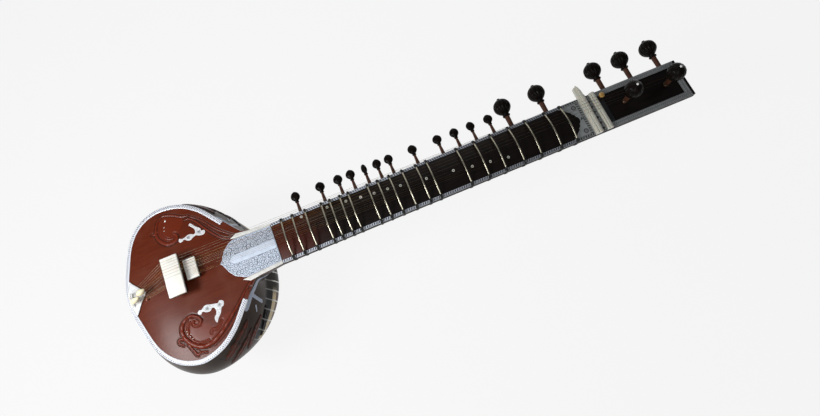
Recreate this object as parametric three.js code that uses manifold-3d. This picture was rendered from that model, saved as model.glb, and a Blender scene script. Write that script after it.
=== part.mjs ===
// A full-size sitar lying face up, in millimetres.
// +X runs along the neck from the bowl to the peghead, +Y points to the side pegs, +Z is the face normal.
// Dimensions below are measured from the middle of the main bridge, in the plane of the fingerboard.
// The finished group is then moved so that its origin is the lowest point of the gourd, where it is held.
import * as THREE from 'three';
import { mergeVertices } from 'three/addons/utils/BufferGeometryUtils.js';
import Module from 'manifold-3d';

const wasm = await Module();
wasm.setup();

// ---- driving dimensions ----
const GAP = 0.3; // clearance between touching pieces

const NECK = { half: 43.4, shoulder: 8, depth: 46, wall: 6, start: 198, end: 1107, cap: 6 };
const BOARD = 5; // thickness of the fingerboard and face plates
const LEAF_X = 836; // where the pointed end of the fingerboard begins
const JOINT_END = NECK.start - GAP; // the soundboard's tongue ends here

const TABLI = { thick: 3, tailDrop: 14, neckX: 139, centre: [0, 4] };
const BOWL = {
  wall: 5, centre: [-6.8, 1.8], half: 179.6, neckSide: 144.8, tailSide: 120,
  wideZ: -76, bottomZ: -250, roundness: 1.73,
  bulge: 31.3, bulgeTop: -59, bulgeFull: -151, bulgeAngle: 1.39,
};
const GULU = { x: 62, z: -88 }; // the cowl is the part of the bowl beyond x and above z

const PEG_Z = -18.4; // depth of the side pegs' axes
const SMALL_PEGS = [261.1, 315.8, 355.3, 383.3, 414.2, 442.5, 469.2, 523.5, 580.6, 619.5, 657.5, 698.4];
const CHIKARI_PEGS = [738.3, 819.3];
const SIDE_PEGS = [954.3, 1020.7, 1090.0];
const FRONT_PEGS = [971.6, 1068.1];
const GROMMET_Y = [32, 30, 27, 23, 20, 18, 14, 7, 1, -6, -11, -17];
const PEGHEAD_HOLES = [[SIDE_PEGS[0], 28], [SIDE_PEGS[1], 22], [SIDE_PEGS[2], 14]]; // strings pass in here

const FRETS = [838.8, 803.1, 758.5, 720.3, 679.7, 642.0, 603.1, 535.9, 512.7, 482.7, 454.3, 428.8, 406.4,
  364.9, 346.7, 325.2, 306.8, 271.8, 244.7, 221.2];
const FRET = { half: 43, rise: 11, width: 4.4, height: 3 };

const BRIDGE = { x: [-17, 16], y: [-30.6, 49.2], z: [18, 28.3], feet: [[-24, -9], [30, 43]], footX: 9 };
const TARAF_BRIDGE = { x: [18, 42], y: [-5.5, 35.5], z: 13 };
const NUT = { x: [880, 894], z: 14 };
const GUIDE = { x: [907, 919], z: 10 };
const HITCH = { x: -70, z: -2.9, slope: 0.2215, thick: 2 };
const STRING_R = 0.35;
const TARAF_R = 0.25;

// ---- shape helpers ----
const V = (x, y, z) => new THREE.Vector3(x, y, z);

function geometryFrom(points, faces) {
  const g = new THREE.BufferGeometry();
  g.setAttribute('position', new THREE.Float32BufferAttribute(points.flatMap((p) => [p.x, p.y, p.z]), 3));
  g.setIndex(faces.flat());
  return g;
}

function signedVolume(points, faces) {
  let sum = 0;
  for (const [a, b, c] of faces) sum += points[a].dot(points[b].clone().cross(points[c]));
  return sum / 6;
}

// A closed skin through rings of equal point count, with a fan over each end.
function loft(rings, firstTip = null, lastTip = null) {
  const n = rings[0].length;
  const points = rings.flat();
  const faces = [];
  for (let k = 0; k + 1 < rings.length; k++) {
    for (let i = 0; i < n; i++) {
      const a = k * n + i;
      const b = k * n + ((i + 1) % n);
      faces.push([a, a + n, b + n], [a, b + n, b]);
    }
  }
  const middle = (ring) => ring.reduce((s, p) => s.add(p), V(0, 0, 0)).multiplyScalar(1 / n);
  const last = (rings.length - 1) * n;
  points.push(firstTip ?? middle(rings[0]), lastTip ?? middle(rings.at(-1)));
  const [top, bottom] = [points.length - 2, points.length - 1];
  for (let i = 0; i < n; i++) {
    const j = (i + 1) % n;
    faces.push([top, i, j], [bottom, last + j, last + i]);
  }
  if (signedVolume(points, faces) < 0) faces.forEach((f) => f.reverse());
  return geometryFrom(points, faces);
}

// A vertical prism over a plan outline of [x, y] points.
function plate(outline, z0, z1) {
  const corners = outline.map(([x, y]) => new THREE.Vector2(x, y));
  if (THREE.ShapeUtils.isClockWise(corners)) corners.reverse();
  const n = corners.length;
  const points = [z0, z1].flatMap((z) => corners.map((p) => V(p.x, p.y, z)));
  const faces = [];
  for (const [a, b, c] of THREE.ShapeUtils.triangulateShape(corners, [])) {
    faces.push([c, b, a], [a + n, b + n, c + n]);
  }
  for (let i = 0; i < n; i++) {
    const j = (i + 1) % n;
    faces.push([i, j, j + n], [i, j + n, i + n]);
  }
  return geometryFrom(points, faces);
}

function box(x, y, z) {
  return plate([[x[0], y[0]], [x[1], y[0]], [x[1], y[1]], [x[0], y[1]]], z[0], z[1]);
}

// A piece turned about its axis: profile of [height, radius]; place() puts (across, side, height) in space.
function turned(profile, sides, place) {
  return loft(profile.map(([h, r]) => Array.from({ length: sides }, (_, i) => {
    const a = (i / sides) * 2 * Math.PI;
    return place(r * Math.cos(a), r * Math.sin(a), h);
  })));
}

// A straight-sided wire through a list of points.
function wire(path, radius, sides = 6) {
  let side = null;
  const rings = path.map((p, k) => {
    const back = k > 0 ? p.clone().sub(path[k - 1]).normalize() : null;
    const ahead = k + 1 < path.length ? path[k + 1].clone().sub(p).normalize() : null;
    const along = (back ?? ahead).clone().add(ahead ?? back).normalize();
    side = (side ?? V(0, 1, 0)).clone();
    side.addScaledVector(along, -side.dot(along)).normalize();
    const up = along.clone().cross(side);
    return Array.from({ length: sides }, (_, i) => {
      const a = (i / sides) * 2 * Math.PI;
      return p.clone().addScaledVector(side, radius * Math.cos(a)).addScaledVector(up, radius * Math.sin(a));
    });
  });
  return loft(rings);
}

function solid(geometry) {
  const g = geometry.clone();
  g.deleteAttribute('normal');
  g.deleteAttribute('uv');
  const merged = mergeVertices(g, 1e-4);
  return new wasm.Manifold(new wasm.Mesh({
    numProp: 3,
    vertProperties: new Float32Array(merged.attributes.position.array),
    triVerts: new Uint32Array(merged.index.array),
  }));
}

function shaped(manifold) {
  const mesh = manifold.getMesh();
  const g = new THREE.BufferGeometry();
  g.setAttribute('position', new THREE.BufferAttribute(mesh.vertProperties, 3));
  g.setIndex(new THREE.BufferAttribute(mesh.triVerts, 1));
  return g;
}

const lerp = THREE.MathUtils.lerp;
const smooth = (a, b, x) => THREE.MathUtils.smoothstep(x, a, b);

// ---- materials ----
function finish(color, roughness, metalness = 0) {
  return new THREE.MeshStandardMaterial({ color, roughness, metalness });
}
const RED_WOOD = finish(0x6a2410, 0.25);
const DARK_WOOD = finish(0x1a100c, 0.3);
const LACQUER = finish(0x2a1510, 0.2);
const PEG_BLACK = finish(0x120c0a, 0.35);
const BONE = finish(0xf0eee2, 0.5);
const INLAY = finish(0xcdd3dd, 0.4);
const AMBER = finish(0xc9952e, 0.3);
const NICKEL = finish(0xc8bf9c, 0.25, 1);
const STEEL = finish(0xb9bcc0, 0.2, 1);

const group = new THREE.Group();
function node(name, geometry, material) {
  geometry.computeVertexNormals();
  const mesh = new THREE.Mesh(geometry, material);
  mesh.name = name;
  group.add(mesh);
}

// ---- soundboard outline ----
// Half widths of the bowl's face along its centre line, from the tail to the neck.
const HALF_OUTLINE = [[-114, 0], [-112, 24], [-105, 54], [-82, 115], [-50, 150.5], [-8, 165], [35, 157],
  [70, 134], [100, 99], [120, 72.5], [TABLI.neckX, 50]];
const TONGUE_HALF = 43.6; // the soundboard's tongue under the neck-joint plate
const centreLine = (x) => 2 + 0.075 * Math.max(0, -x); // the tail leans to the peg side
const edgeDrop = (x) => TABLI.tailDrop * Math.max(0, (TABLI.neckX - x) / 253) ** 1.1;

function faceOutline(neckEnd) {
  const half = new THREE.SplineCurve(HALF_OUTLINE.map(([x, w]) => new THREE.Vector2(x, w))).getPoints(17);
  const up = half.map((p) => [p.x, centreLine(p.x) + p.y]).reverse();
  const down = half.slice(1).map((p) => [p.x, centreLine(p.x) - p.y]);
  const mirrored = neckEnd.map(([x, y]) => [x, -y]);
  return [...up, ...down, ...mirrored, ...[...neckEnd].reverse()];
}

const boardTop = (rimX, r) => -edgeDrop(rimX) * r ** 2.5;

function soundboard() {
  const outline = faceOutline([[158, 47.8], [178, 45.6], [JOINT_END, TONGUE_HALF], [JOINT_END, 20]]);
  const [cx, cy] = TABLI.centre;
  const ring = (r, drop) => outline.map(([x, y]) => V(lerp(cx, x, r), lerp(cy, y, r), boardTop(x, r) - drop));
  const rings = [];
  for (const r of [0.3, 0.55, 0.75, 0.9, 1]) rings.push(ring(r, 0));
  for (const r of [1, 0.8, 0.45]) rings.push(ring(r, TABLI.thick));
  return loft(rings, V(cx, cy, 0), V(cx, cy, -TABLI.thick));
}

// ---- bowl and cowl ----
const rimZ = (x) => -edgeDrop(x) - TABLI.thick - GAP;

function bowlRadius(angle, z) {
  const side = Math.cos(angle) > 0 ? BOWL.neckSide : BOWL.tailSide;
  const oval = 1 / Math.hypot(Math.cos(angle) / side, Math.sin(angle) / BOWL.half);
  const off = Math.min(Math.abs(Math.atan2(Math.sin(angle), Math.cos(angle))), BOWL.bulgeAngle);
  const weight = Math.max(0, Math.cos((off / BOWL.bulgeAngle) * Math.PI / 2)) ** 1.2;
  return oval + BOWL.bulge * weight * (1 - smooth(BOWL.bulgeFull, BOWL.bulgeTop, z));
}

// The bowl's skin, shrunk inwards by inset; extraTop carries the rings above the rim.
function bowlSkin(inset, extraTop) {
  const rim = faceOutline([[150, 30]]);
  const [cx, cy] = BOWL.centre;
  const ringAt = (radiusOf, zOf) => rim.map(([x, y]) => {
    const angle = Math.atan2(y - cy, x - cx);
    const r = radiusOf(angle, Math.hypot(x - cx, y - cy)) - inset;
    return V(cx + r * Math.cos(angle), cy + r * Math.sin(angle), zOf(x));
  });
  const rings = [];
  if (extraTop > 0) rings.push(ringAt((a, r) => r, (x) => rimZ(x) + extraTop));
  for (const u of [0, 0.35, 0.7, 1]) {
    const s = Math.sin(u * Math.PI / 2);
    rings.push(ringAt((a, r) => lerp(r, bowlRadius(a, BOWL.wideZ), s), (x) => lerp(rimZ(x), BOWL.wideZ, u)));
  }
  const floor = BOWL.bottomZ + inset;
  for (const u of [0.2, 0.4, 0.58, 0.74, 0.87, 0.96]) {
    const z = lerp(BOWL.wideZ, floor, u);
    const p = Math.sqrt(1 - u ** BOWL.roundness);
    rings.push(ringAt((a) => bowlRadius(a, z) * p, () => z));
  }
  return loft(rings, V(cx, cy, rimZ(0) + extraTop - 6), V(cx, cy, floor));
}

// Half-round trough section as [y, z] points, flat on top.
function troughSection(half, top, shoulder, depth, steps = 10) {
  const curve = Array.from({ length: steps + 1 }, (_, i) => {
    const a = (i / steps) * Math.PI;
    return [half * Math.cos(a), -shoulder - (depth - shoulder) * Math.sin(a)];
  });
  return [[half, top], ...curve, [-half, top]];
}

const bar = (x0, x1, section) => loft([x0, x1].map((x) => section.map(([y, z]) => V(x, y, z))));

function throat() {
  const stations = [[128, 54, 98], [142, 49, 90], [152, 47.6, 80], [162, 46.4, 70], [172, 45.4, 61],
    [184, 44.4, 53], [JOINT_END, 43.5, NECK.depth]];
  return loft(stations.map(([x, half, depth]) => troughSection(half, rimZ(150), NECK.shoulder, depth)
    .map(([y, z]) => V(x, y, z))));
}

function bowlAndCowl() {
  const outer = solid(bowlSkin(0, 0));
  const hollow = solid(bowlSkin(BOWL.wall, 30));
  const cowlRoom = solid(box([GULU.x, 400], [-300, 300], [GULU.z, 100]));
  const bowlCut = solid(box([GULU.x - GAP, 400], [-300, 300], [GULU.z - GAP, 100]));
  node('tumba', shaped(outer.subtract(hollow).subtract(bowlCut)), LACQUER);
  node('gulu', shaped(outer.add(solid(throat())).intersect(cowlRoom).subtract(hollow)), LACQUER);
}

// ---- neck ----
const HOLE_SIDES = 8;
const along = {
  y: (x, z) => (a, b, h) => V(x + a, h, z + b),
  z: (x, y) => (a, b, h) => V(x + b, y + a, h),
};
const drill = (place, h0, h1, r) => solid(turned([[h0, r], [h1, r]], HOLE_SIDES, place));

function neck() {
  const inner = NECK.half - NECK.wall;
  const tip = NECK.end + NECK.cap;
  const section = (top) => troughSection(NECK.half, top, NECK.shoulder, NECK.depth);
  let dandi = solid(bar(NECK.start, tip - 1, section(-BOARD - GAP)));
  dandi = dandi.add(solid(bar(NECK.end + GAP, tip, section(0))));
  dandi = dandi.subtract(solid(bar(NECK.start - 1, NECK.end - 9,
    troughSection(inner, 10, NECK.shoulder - 2, NECK.depth - NECK.wall))));
  const small = SMALL_PEGS.map((x) => [x, 4.5, 3.1]);
  const large = [...CHIKARI_PEGS, ...SIDE_PEGS].map((x) => [x, 6, 4.7]);
  for (const [x, nearR, farR] of [...small, ...large]) {
    dandi = dandi.subtract(drill(along.y(x, PEG_Z), inner - 6, NECK.half + 2, nearR));
    dandi = dandi.subtract(drill(along.y(x, PEG_Z), -NECK.half + 2.2, -inner + 6, farR));
  }
  for (const x of FRONT_PEGS) dandi = dandi.subtract(drill(along.z(x, 0), -NECK.depth + 3, -30, 4.9));
  node('dandi', shaped(dandi), DARK_WOOD);

  const block = troughSection(inner - GAP, -BOARD - GAP, NECK.shoulder - 2, NECK.depth - NECK.wall - GAP);
  node('neck_block', bar(NECK.start + GAP, NECK.start + 38, block), RED_WOOD);
}

// The fingerboard's pointed end; the same curve, moved by gap, bounds the engraved plate beyond it.
const LEAF = [[LEAF_X, -36], [848, -26], [856, -17], [861, -9], [866, 0], [861, 9], [856, 17], [848, 26],
  [LEAF_X, 36]];
const leaf = (gap) => LEAF.map(([x, y]) => [x + gap, y]);

function facePlates() {
  const half = NECK.half;
  const startX = NECK.start + GAP;
  const board = [[startX, -half], [LEAF_X, -half], ...leaf(0), [LEAF_X, half], [startX, half]];
  let fingerboard = solid(plate(board, -BOARD, 0));
  SMALL_PEGS.forEach((x, i) => {
    fingerboard = fingerboard.subtract(drill(along.z(x, GROMMET_Y[i]), -BOARD - 1, 1, 1.4));
  });
  node('fingerboard', shaped(fingerboard), DARK_WOOD);

  const endX = 928;
  const upper = [[LEAF_X + GAP, -half], [endX, -half], [endX, half], [LEAF_X + GAP, half]];
  upper.push(...leaf(GAP).reverse());
  const frame = solid(box([endX - 5, NECK.end], [-half, half], [-2, 0]));
  const window = solid(box([933, 1094], [-32, 32], [-5, 5]));
  node('face_inlay', shaped(solid(plate(upper, -BOARD, 0)).add(frame.subtract(window))), INLAY);

  let panel = solid(box([endX + GAP, NECK.end], [-half, half], [-BOARD, -2.3]));
  for (const x of FRONT_PEGS) panel = panel.subtract(drill(along.z(x, 0), -BOARD - 1, 0, 6.1));
  for (const [x, y] of PEGHEAD_HOLES) panel = panel.subtract(drill(along.z(x, y), -BOARD - 1, 0, 1.6));
  node('peghead_panel', shaped(panel), DARK_WOOD);

  const joint = [[82, 3], [88, 13], [95, 25], [104, 35], [114, 41], [126, 41.5], [JOINT_END, 39.5],
    [JOINT_END, -37.5], [128, -42], [114, -38], [104, -31], [96, -21], [90, -11]];
  node('joint_plate', plate(joint, GAP, 1.5), INLAY);
}

// ---- frets ----
function fret(x) {
  const [w, h] = [FRET.width / 2, FRET.height / 2];
  const section = [[w, 0], [w * 0.55, h], [-w * 0.55, h], [-w, 0], [-w * 0.55, -h], [w * 0.55, -h]];
  const steps = 8;
  return loft(Array.from({ length: steps + 1 }, (_, k) => {
    const t = -1 + (2 * k) / steps;
    const slope = Math.atan2(-2 * FRET.rise * t, FRET.half);
    const z = GAP + h + FRET.rise * (1 - t * t);
    return section.map(([a, b]) => V(x + a, FRET.half * t - b * Math.sin(slope), z + b * Math.cos(slope)));
  }));
}

// ---- pegs: profiles run from the seat in the far wall out to the head ----
const SMALL_PROFILE = [[-40.6, 2.4], [43, 3.7], [52, 3.9], [70, 2.8], [74, 4.8], [79, 8], [84, 9.2], [89, 8],
  [93, 4.4], [95.6, 1.4]];
const BIG_PROFILE = [[-40.6, 4], [42, 5.1], [74, 5.5], [76, 8.2], [80.5, 7], [86, 13.8], [92, 17.5],
  [98, 18.6], [105, 17.4], [111, 13], [116, 4], [119.4, 2.4]];
const FRONT_PROFILE = [[-42.6, 4.1], [-2, 5.2], [24, 5.4], [26, 8], [30.5, 7], [36, 13.6], [42.5, 17.3],
  [49, 18.2], [56, 17], [62, 12.6], [67, 3.6], [70, 2.6]];
const HEAD_FROM = 72; // a small peg is flattened into a leaf from here outwards

function pegs() {
  const number = (i) => String(i + 1).padStart(2, '0');
  SMALL_PEGS.forEach((x, i) => {
    const turn = i === 4 ? Math.PI / 2 : 0; // one peg stands edge on to the face
    const place = (a, b, h) => {
      const flat = h > HEAD_FROM ? [a, b * 0.62] : [a, b];
      const [c, s] = [Math.cos(turn), Math.sin(turn)];
      return V(x + flat[0] * c - flat[1] * s, h, PEG_Z + flat[0] * s + flat[1] * c);
    };
    node(`taraf_peg_${number(i)}`, turned(SMALL_PROFILE, 8, place), PEG_BLACK);
  });
  const large = (name, i, profile, place) => {
    node(`${name}_${number(i)}`, turned(profile, 10, place), PEG_BLACK);
  };
  CHIKARI_PEGS.forEach((x, i) => large('chikari_peg', i, BIG_PROFILE, along.y(x, PEG_Z)));
  SIDE_PEGS.forEach((x, i) => large('side_peg', i, BIG_PROFILE, along.y(x, PEG_Z)));
  FRONT_PEGS.forEach((x, i) => large('front_peg', i, FRONT_PROFILE, along.z(x, 0)));
}

// ---- bridges, nut and guide ----
function bridges() {
  node('main_bridge_top', box(BRIDGE.x, BRIDGE.y, BRIDGE.z), BONE);
  const [lowFoot, highFoot] = BRIDGE.feet;
  const seat = BRIDGE.z[0] - GAP;
  const footX = [-BRIDGE.footX, BRIDGE.footX];
  const feet = solid(box(footX, [lowFoot[0], highFoot[1]], [GAP, seat]))
    .subtract(solid(box([-50, 50], [lowFoot[1], highFoot[0]], [-1, seat - 2.5])));
  node('main_bridge_feet', shaped(feet), RED_WOOD);
  node('taraf_bridge', box(TARAF_BRIDGE.x, TARAF_BRIDGE.y, [GAP, TARAF_BRIDGE.z]), BONE);

  const [x0, x1] = NUT.x;
  const tongue = [[x1 + 2, 58], [x1 - 3, 68], [x0 + 5, 66], [x0 + 2, 57]];
  const nut = [[x0, -45], [x1, -45], [x1 + 3, 44], ...tongue, [x0 + 2, 44]];
  node('nut', plate(nut, GAP, NUT.z), BONE);
  node('string_guide', box(GUIDE.x, [-44, 43.4], [GAP, GUIDE.z]), BONE);
}

// ---- tail hitch and edge binding ----
const hitchZ = (x) => HITCH.z - HITCH.slope * (HITCH.x - x);

function tail() {
  const outline = [[-70, 9], [-83, 23], [-95, 37], [-100, 28], [-103.5, 12], [-102, -6], [-96.5, -22],
    [-84, -6]];
  const ring = (lift) => outline.map(([x, y]) => V(x, y, hitchZ(x) + lift));
  node('tail_hitch', loft([ring(0), ring(HITCH.thick)]), INLAY);

  const [width, thick] = [9, 0.9];
  const [cx, cy] = TABLI.centre;
  const section = ([x, y]) => {
    const r = 1 - width / Math.hypot(x - cx, y - cy);
    const inside = [lerp(cx, x, r), lerp(cy, y, r)];
    const [outZ, inZ] = [boardTop(x, 1) + GAP, boardTop(x, r) + GAP];
    return [V(...inside, inZ), V(x, y, outZ), V(x, y, outZ + thick), V(...inside, inZ + thick)];
  };
  node('tabli_binding', loft(faceOutline([[150, 30]]).filter(([x]) => x <= 110).map(section)), INLAY);
}

// ---- strings and tuning beads ----
const wireZ = (top) => top + GAP + STRING_R;
const bridgeZ = wireZ(BRIDGE.z[1]);
const drop = PEG_Z + 5.8; // where a string meets the shaft of a large side peg

// Each main string: y at the hitch, at the bridge and at the nut, then its way to its peg.
const MAIN_STRINGS = [
  { hitch: -8, bridge: 8, nut: 2, end: [[FRONT_PEGS[0] - 4, 6, 4], [FRONT_PEGS[0] + 1, 6, 4]] },
  { hitch: -4, bridge: 14.5, nut: 9, end: [[FRONT_PEGS[1] - 4, 6, 4], [FRONT_PEGS[1] + 1, 6, 4]] },
  { hitch: 0, bridge: 20.5, nut: 16, end: intoPanel(2) },
  { hitch: 4, bridge: 26, nut: 22.5, end: intoPanel(1) },
  { hitch: 8, bridge: 31.5, nut: 29.5, end: intoPanel(0) },
  { hitch: 12, bridge: 37, end: [[CHIKARI_PEGS[1], 49, drop]] },
  { hitch: 16, bridge: 42, end: [[CHIKARI_PEGS[0], 50, drop]] },
];

function intoPanel(i) {
  const [x, y] = PEGHEAD_HOLES[i];
  return [[x, y, 0.9], [x, y, drop]];
}

const HITCH_BAR = { x: [-103, -100.5], y: [-10, 18], mainZ: [-3.2, 0], tarafZ: [-7.3, -4.2] };

// A wire's first two points, inside the bar and just out of it, on the straight line to next.
function hitchStart(y, z, next) {
  const inBar = V(HITCH_BAR.x[1] - 1, y, (z[0] + z[1]) / 2);
  return [inBar, inBar.clone().lerp(next, 0.025)];
}

function mainPath({ hitch, bridge, nut, end }) {
  const ontoBridge = V(BRIDGE.x[0] - 0.5, bridge, bridgeZ);
  const path = [...hitchStart(hitch, HITCH_BAR.mainZ, ontoBridge), ontoBridge];
  path.push(V(BRIDGE.x[1] + 0.5, bridge, bridgeZ));
  if (nut !== undefined) {
    const [nutZ, guideZ] = [wireZ(NUT.z), wireZ(GUIDE.z)];
    path.push(V(NUT.x[0] - 0.5, nut, nutZ), V(NUT.x[1] + 4, nut, nutZ), V(GUIDE.x[0] - 0.5, nut, guideZ),
      V(GUIDE.x[1] + 0.5, nut, guideZ));
  }
  return [...path, ...end.map((p) => V(...p))];
}

function strings() {
  let main = solid(box(HITCH_BAR.x, HITCH_BAR.y, HITCH_BAR.mainZ));
  for (const s of MAIN_STRINGS) main = main.add(solid(wire(mainPath(s), STRING_R)));
  node('main_strings', shaped(main), STEEL);

  let taraf = solid(box(HITCH_BAR.x, HITCH_BAR.y, HITCH_BAR.tarafZ));
  const top = TARAF_BRIDGE.z + GAP + TARAF_R;
  SMALL_PEGS.forEach((x, i) => {
    const y = GROMMET_Y[i];
    const bridgeY = 31 - 2.9 * i;
    const ontoBridge = V(TARAF_BRIDGE.x[0] - 0.5, bridgeY, top);
    const path = [...hitchStart(15 - 2 * i, HITCH_BAR.tarafZ, ontoBridge), ontoBridge,
      V(TARAF_BRIDGE.x[1] + 0.5, bridgeY, top),
      V(x, y, 0.8), V(x, y, PEG_Z + 4.3)];
    taraf = taraf.add(solid(wire(path, TARAF_R)));
  });
  node('sympathetic_strings', shaped(taraf), STEEL);
}

// A bead threaded on a main string at x; offset is where its middle stands from the string.
function bead(name, stringIndex, x, profile, offset, wide, high) {
  const path = mainPath(MAIN_STRINGS[stringIndex]);
  const k = path.findIndex((p, j) => j > 0 && p.x > x) - 1;
  const direction = path[k + 1].clone().sub(path[k]).normalize();
  const onString = path[k].clone().addScaledVector(direction, (x - path[k].x) / direction.x);
  const side = V(0, 1, 0).addScaledVector(direction, -direction.y).normalize();
  const up = direction.clone().cross(side);
  const at = (origin) => (a, b, h) => origin.clone().addScaledVector(side, a).addScaledVector(up, b)
    .addScaledVector(direction, h);
  const middle = onString.clone().addScaledVector(side, offset[0]).addScaledVector(up, offset[1]);
  const body = solid(turned(profile, 10, (a, b, h) => at(middle)(a * wide, b * high, h)));
  const bore = solid(turned([[-20, 0.75], [20, 0.75]], 8, at(onString)));
  node(name, shaped(body.subtract(bore)), AMBER);
}

const EGG = [[-8, 1.5], [-6.5, 3.6], [-3, 5], [1, 5.2], [4.5, 4], [7, 2.2], [8.5, 1.2]];
const PEAR = [[-9, 1.6], [-7, 3.8], [-3, 4.9], [2, 4.6], [5, 3], [8, 3.2], [10.5, 1.6]];
const HALF_SPINDLE = [[0.8, 2.9], [3, 3.8], [5.4, 3], [6.5, 1.4]];

function beads() {
  bead('tuning_bead_01', 2, -70.5, EGG, [-0.5, 4.6], 1, 1.2);
  bead('tuning_bead_02', 1, -88.5, PEAR, [-0.4, 4.6], 1, 1.1);
  const spindle = [...HALF_SPINDLE.map(([h, r]) => [-h, r]).reverse(), [0, 2.3], ...HALF_SPINDLE];
  bead('peghead_bead', 4, 931, spindle, [0, 0], 1.3, 1.25);
}

node('tabli', soundboard(), RED_WOOD);
bowlAndCowl();
neck();
facePlates();
FRETS.forEach((x, i) => node(`fret_${String(i + 1).padStart(2, '0')}`, fret(x), NICKEL));
pegs();
bridges();
tail();
strings();
beads();
group.position.set(-BOWL.centre[0], -BOWL.centre[1], -BOWL.bottomZ);

export default group;
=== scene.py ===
"""A full-size sitar: the looks of every piece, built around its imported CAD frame."""
import math
import random

import bmesh
import bpy
import numpy as np
from mathutils import Matrix, Vector


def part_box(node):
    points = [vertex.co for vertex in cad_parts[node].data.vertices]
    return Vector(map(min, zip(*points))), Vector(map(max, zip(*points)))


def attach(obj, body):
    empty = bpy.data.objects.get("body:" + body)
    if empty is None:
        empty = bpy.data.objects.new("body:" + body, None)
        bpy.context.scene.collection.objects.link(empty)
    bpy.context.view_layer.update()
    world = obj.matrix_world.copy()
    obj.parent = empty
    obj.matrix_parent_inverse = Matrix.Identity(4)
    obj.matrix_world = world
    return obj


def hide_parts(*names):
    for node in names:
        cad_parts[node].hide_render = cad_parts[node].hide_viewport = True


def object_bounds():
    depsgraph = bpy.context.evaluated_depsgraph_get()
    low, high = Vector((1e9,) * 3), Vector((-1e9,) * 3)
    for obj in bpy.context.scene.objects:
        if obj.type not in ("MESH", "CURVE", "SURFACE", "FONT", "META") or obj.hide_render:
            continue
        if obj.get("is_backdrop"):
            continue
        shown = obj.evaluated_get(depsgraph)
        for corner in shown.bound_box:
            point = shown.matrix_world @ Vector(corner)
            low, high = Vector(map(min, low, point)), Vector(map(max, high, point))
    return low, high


random.seed(7)
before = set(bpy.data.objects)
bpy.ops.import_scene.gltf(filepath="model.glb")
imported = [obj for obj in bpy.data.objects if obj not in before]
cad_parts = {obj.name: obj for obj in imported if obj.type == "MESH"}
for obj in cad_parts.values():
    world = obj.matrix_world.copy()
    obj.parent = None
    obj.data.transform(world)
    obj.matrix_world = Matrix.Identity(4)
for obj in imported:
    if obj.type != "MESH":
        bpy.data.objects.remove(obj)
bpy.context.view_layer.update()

# Everything below is written in millimetres from the middle of the main bridge, in the fingerboard's plane.
_bridge_low, _bridge_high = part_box("main_bridge_top")
ORIGIN = np.array([_bridge_low.x * 1000 + 17, _bridge_low.y * 1000 + 30.6, _bridge_high.z * 1000 - 28.3])
BODY = "instrument"


def middle(node):
    low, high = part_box(node)
    return np.array([(low[i] + high[i]) * 500 for i in range(3)]) - ORIGIN


# ------------------------------------------------------------------ meshes
def build(name, verts, faces, body, materials, replaces=(), slot=None, pick=None, smooth=True, sharp=40,
          floats=None, uv=None):
    """A mesh object from points in millimetres; pick gives each face's material number."""
    mesh = bpy.data.meshes.new(name)
    points = (np.asarray(verts, float) + ORIGIN) / 1000
    mesh.from_pydata(points.tolist(), [], [list(map(int, f)) for f in faces])
    mesh.update()
    return dress(name, mesh, body, materials, replaces, slot, pick, smooth, sharp, floats, uv)


def dress(name, mesh, body, materials, replaces=(), slot=None, pick=None, smooth=True, sharp=40, floats=None,
          uv=None):
    obj = bpy.data.objects.new(name, mesh)
    bpy.context.scene.collection.objects.link(obj)
    mesh.materials.clear()
    for m in materials if isinstance(materials, (list, tuple)) else [materials]:
        mesh.materials.append(m)
    if pick is not None:
        mesh.polygons.foreach_set("material_index", np.asarray(pick, np.int32))
    mesh.polygons.foreach_set("use_smooth", np.full(len(mesh.polygons), smooth))
    if smooth and sharp:
        mesh.set_sharp_from_angle(angle=math.radians(sharp))
    for key, values in (floats or {}).items():
        layer = mesh.attributes.new(key, "FLOAT", "POINT")
        layer.data.foreach_set("value", np.asarray(values, np.float32))
    if uv is not None:
        layer = mesh.uv_layers.new(name="UVMap")
        loops = np.zeros(len(mesh.loops), np.int32)
        mesh.loops.foreach_get("vertex_index", loops)
        layer.data.foreach_set("uv", np.asarray(uv, np.float32)[loops].ravel())
    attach(obj, body)
    if replaces:
        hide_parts(*replaces)
    return obj


def grid_faces(rows, columns, close=False):
    i, j = np.meshgrid(np.arange(rows - 1), np.arange(columns if close else columns - 1), indexing="ij")
    a = i * columns + j
    b = i * columns + (j + 1) % columns
    return np.stack([a, a + columns, b + columns, b], -1).reshape(-1, 4)


def loft(rings):
    """Rings of equal length joined into a closed skin with a fan over each end."""
    rings = np.asarray(rings, float)
    rows, columns = rings.shape[:2]
    verts = np.concatenate([rings.reshape(-1, 3), rings[0].mean(0)[None], rings[-1].mean(0)[None]])
    faces = grid_faces(rows, columns, True).tolist()
    first, last = rows * columns, rows * columns + 1
    end = (rows - 1) * columns
    for j in range(columns):
        k = (j + 1) % columns
        faces.append([first, j, k])
        faces.append([last, end + k, end + j])
    volume = 0.0
    for f in faces[:: max(1, len(faces) // 4000)]:
        a, b, c = verts[f[0]], verts[f[1]], verts[f[2]]
        volume += np.dot(a - verts[first], np.cross(b - verts[first], c - verts[first]))
    if volume < 0:
        faces = [f[::-1] for f in faces]
    return verts, faces


def merge(*parts):
    """Several (verts, faces) as one, with a material number for each face of each part."""
    verts, faces, pick, base = [], [], [], 0
    for k, (v, f) in enumerate(parts):
        verts.append(np.asarray(v, float))
        faces += [[i + base for i in face] for face in f]
        pick += [k] * len(f)
        base += len(v)
    return np.concatenate(verts), faces, pick


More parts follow.
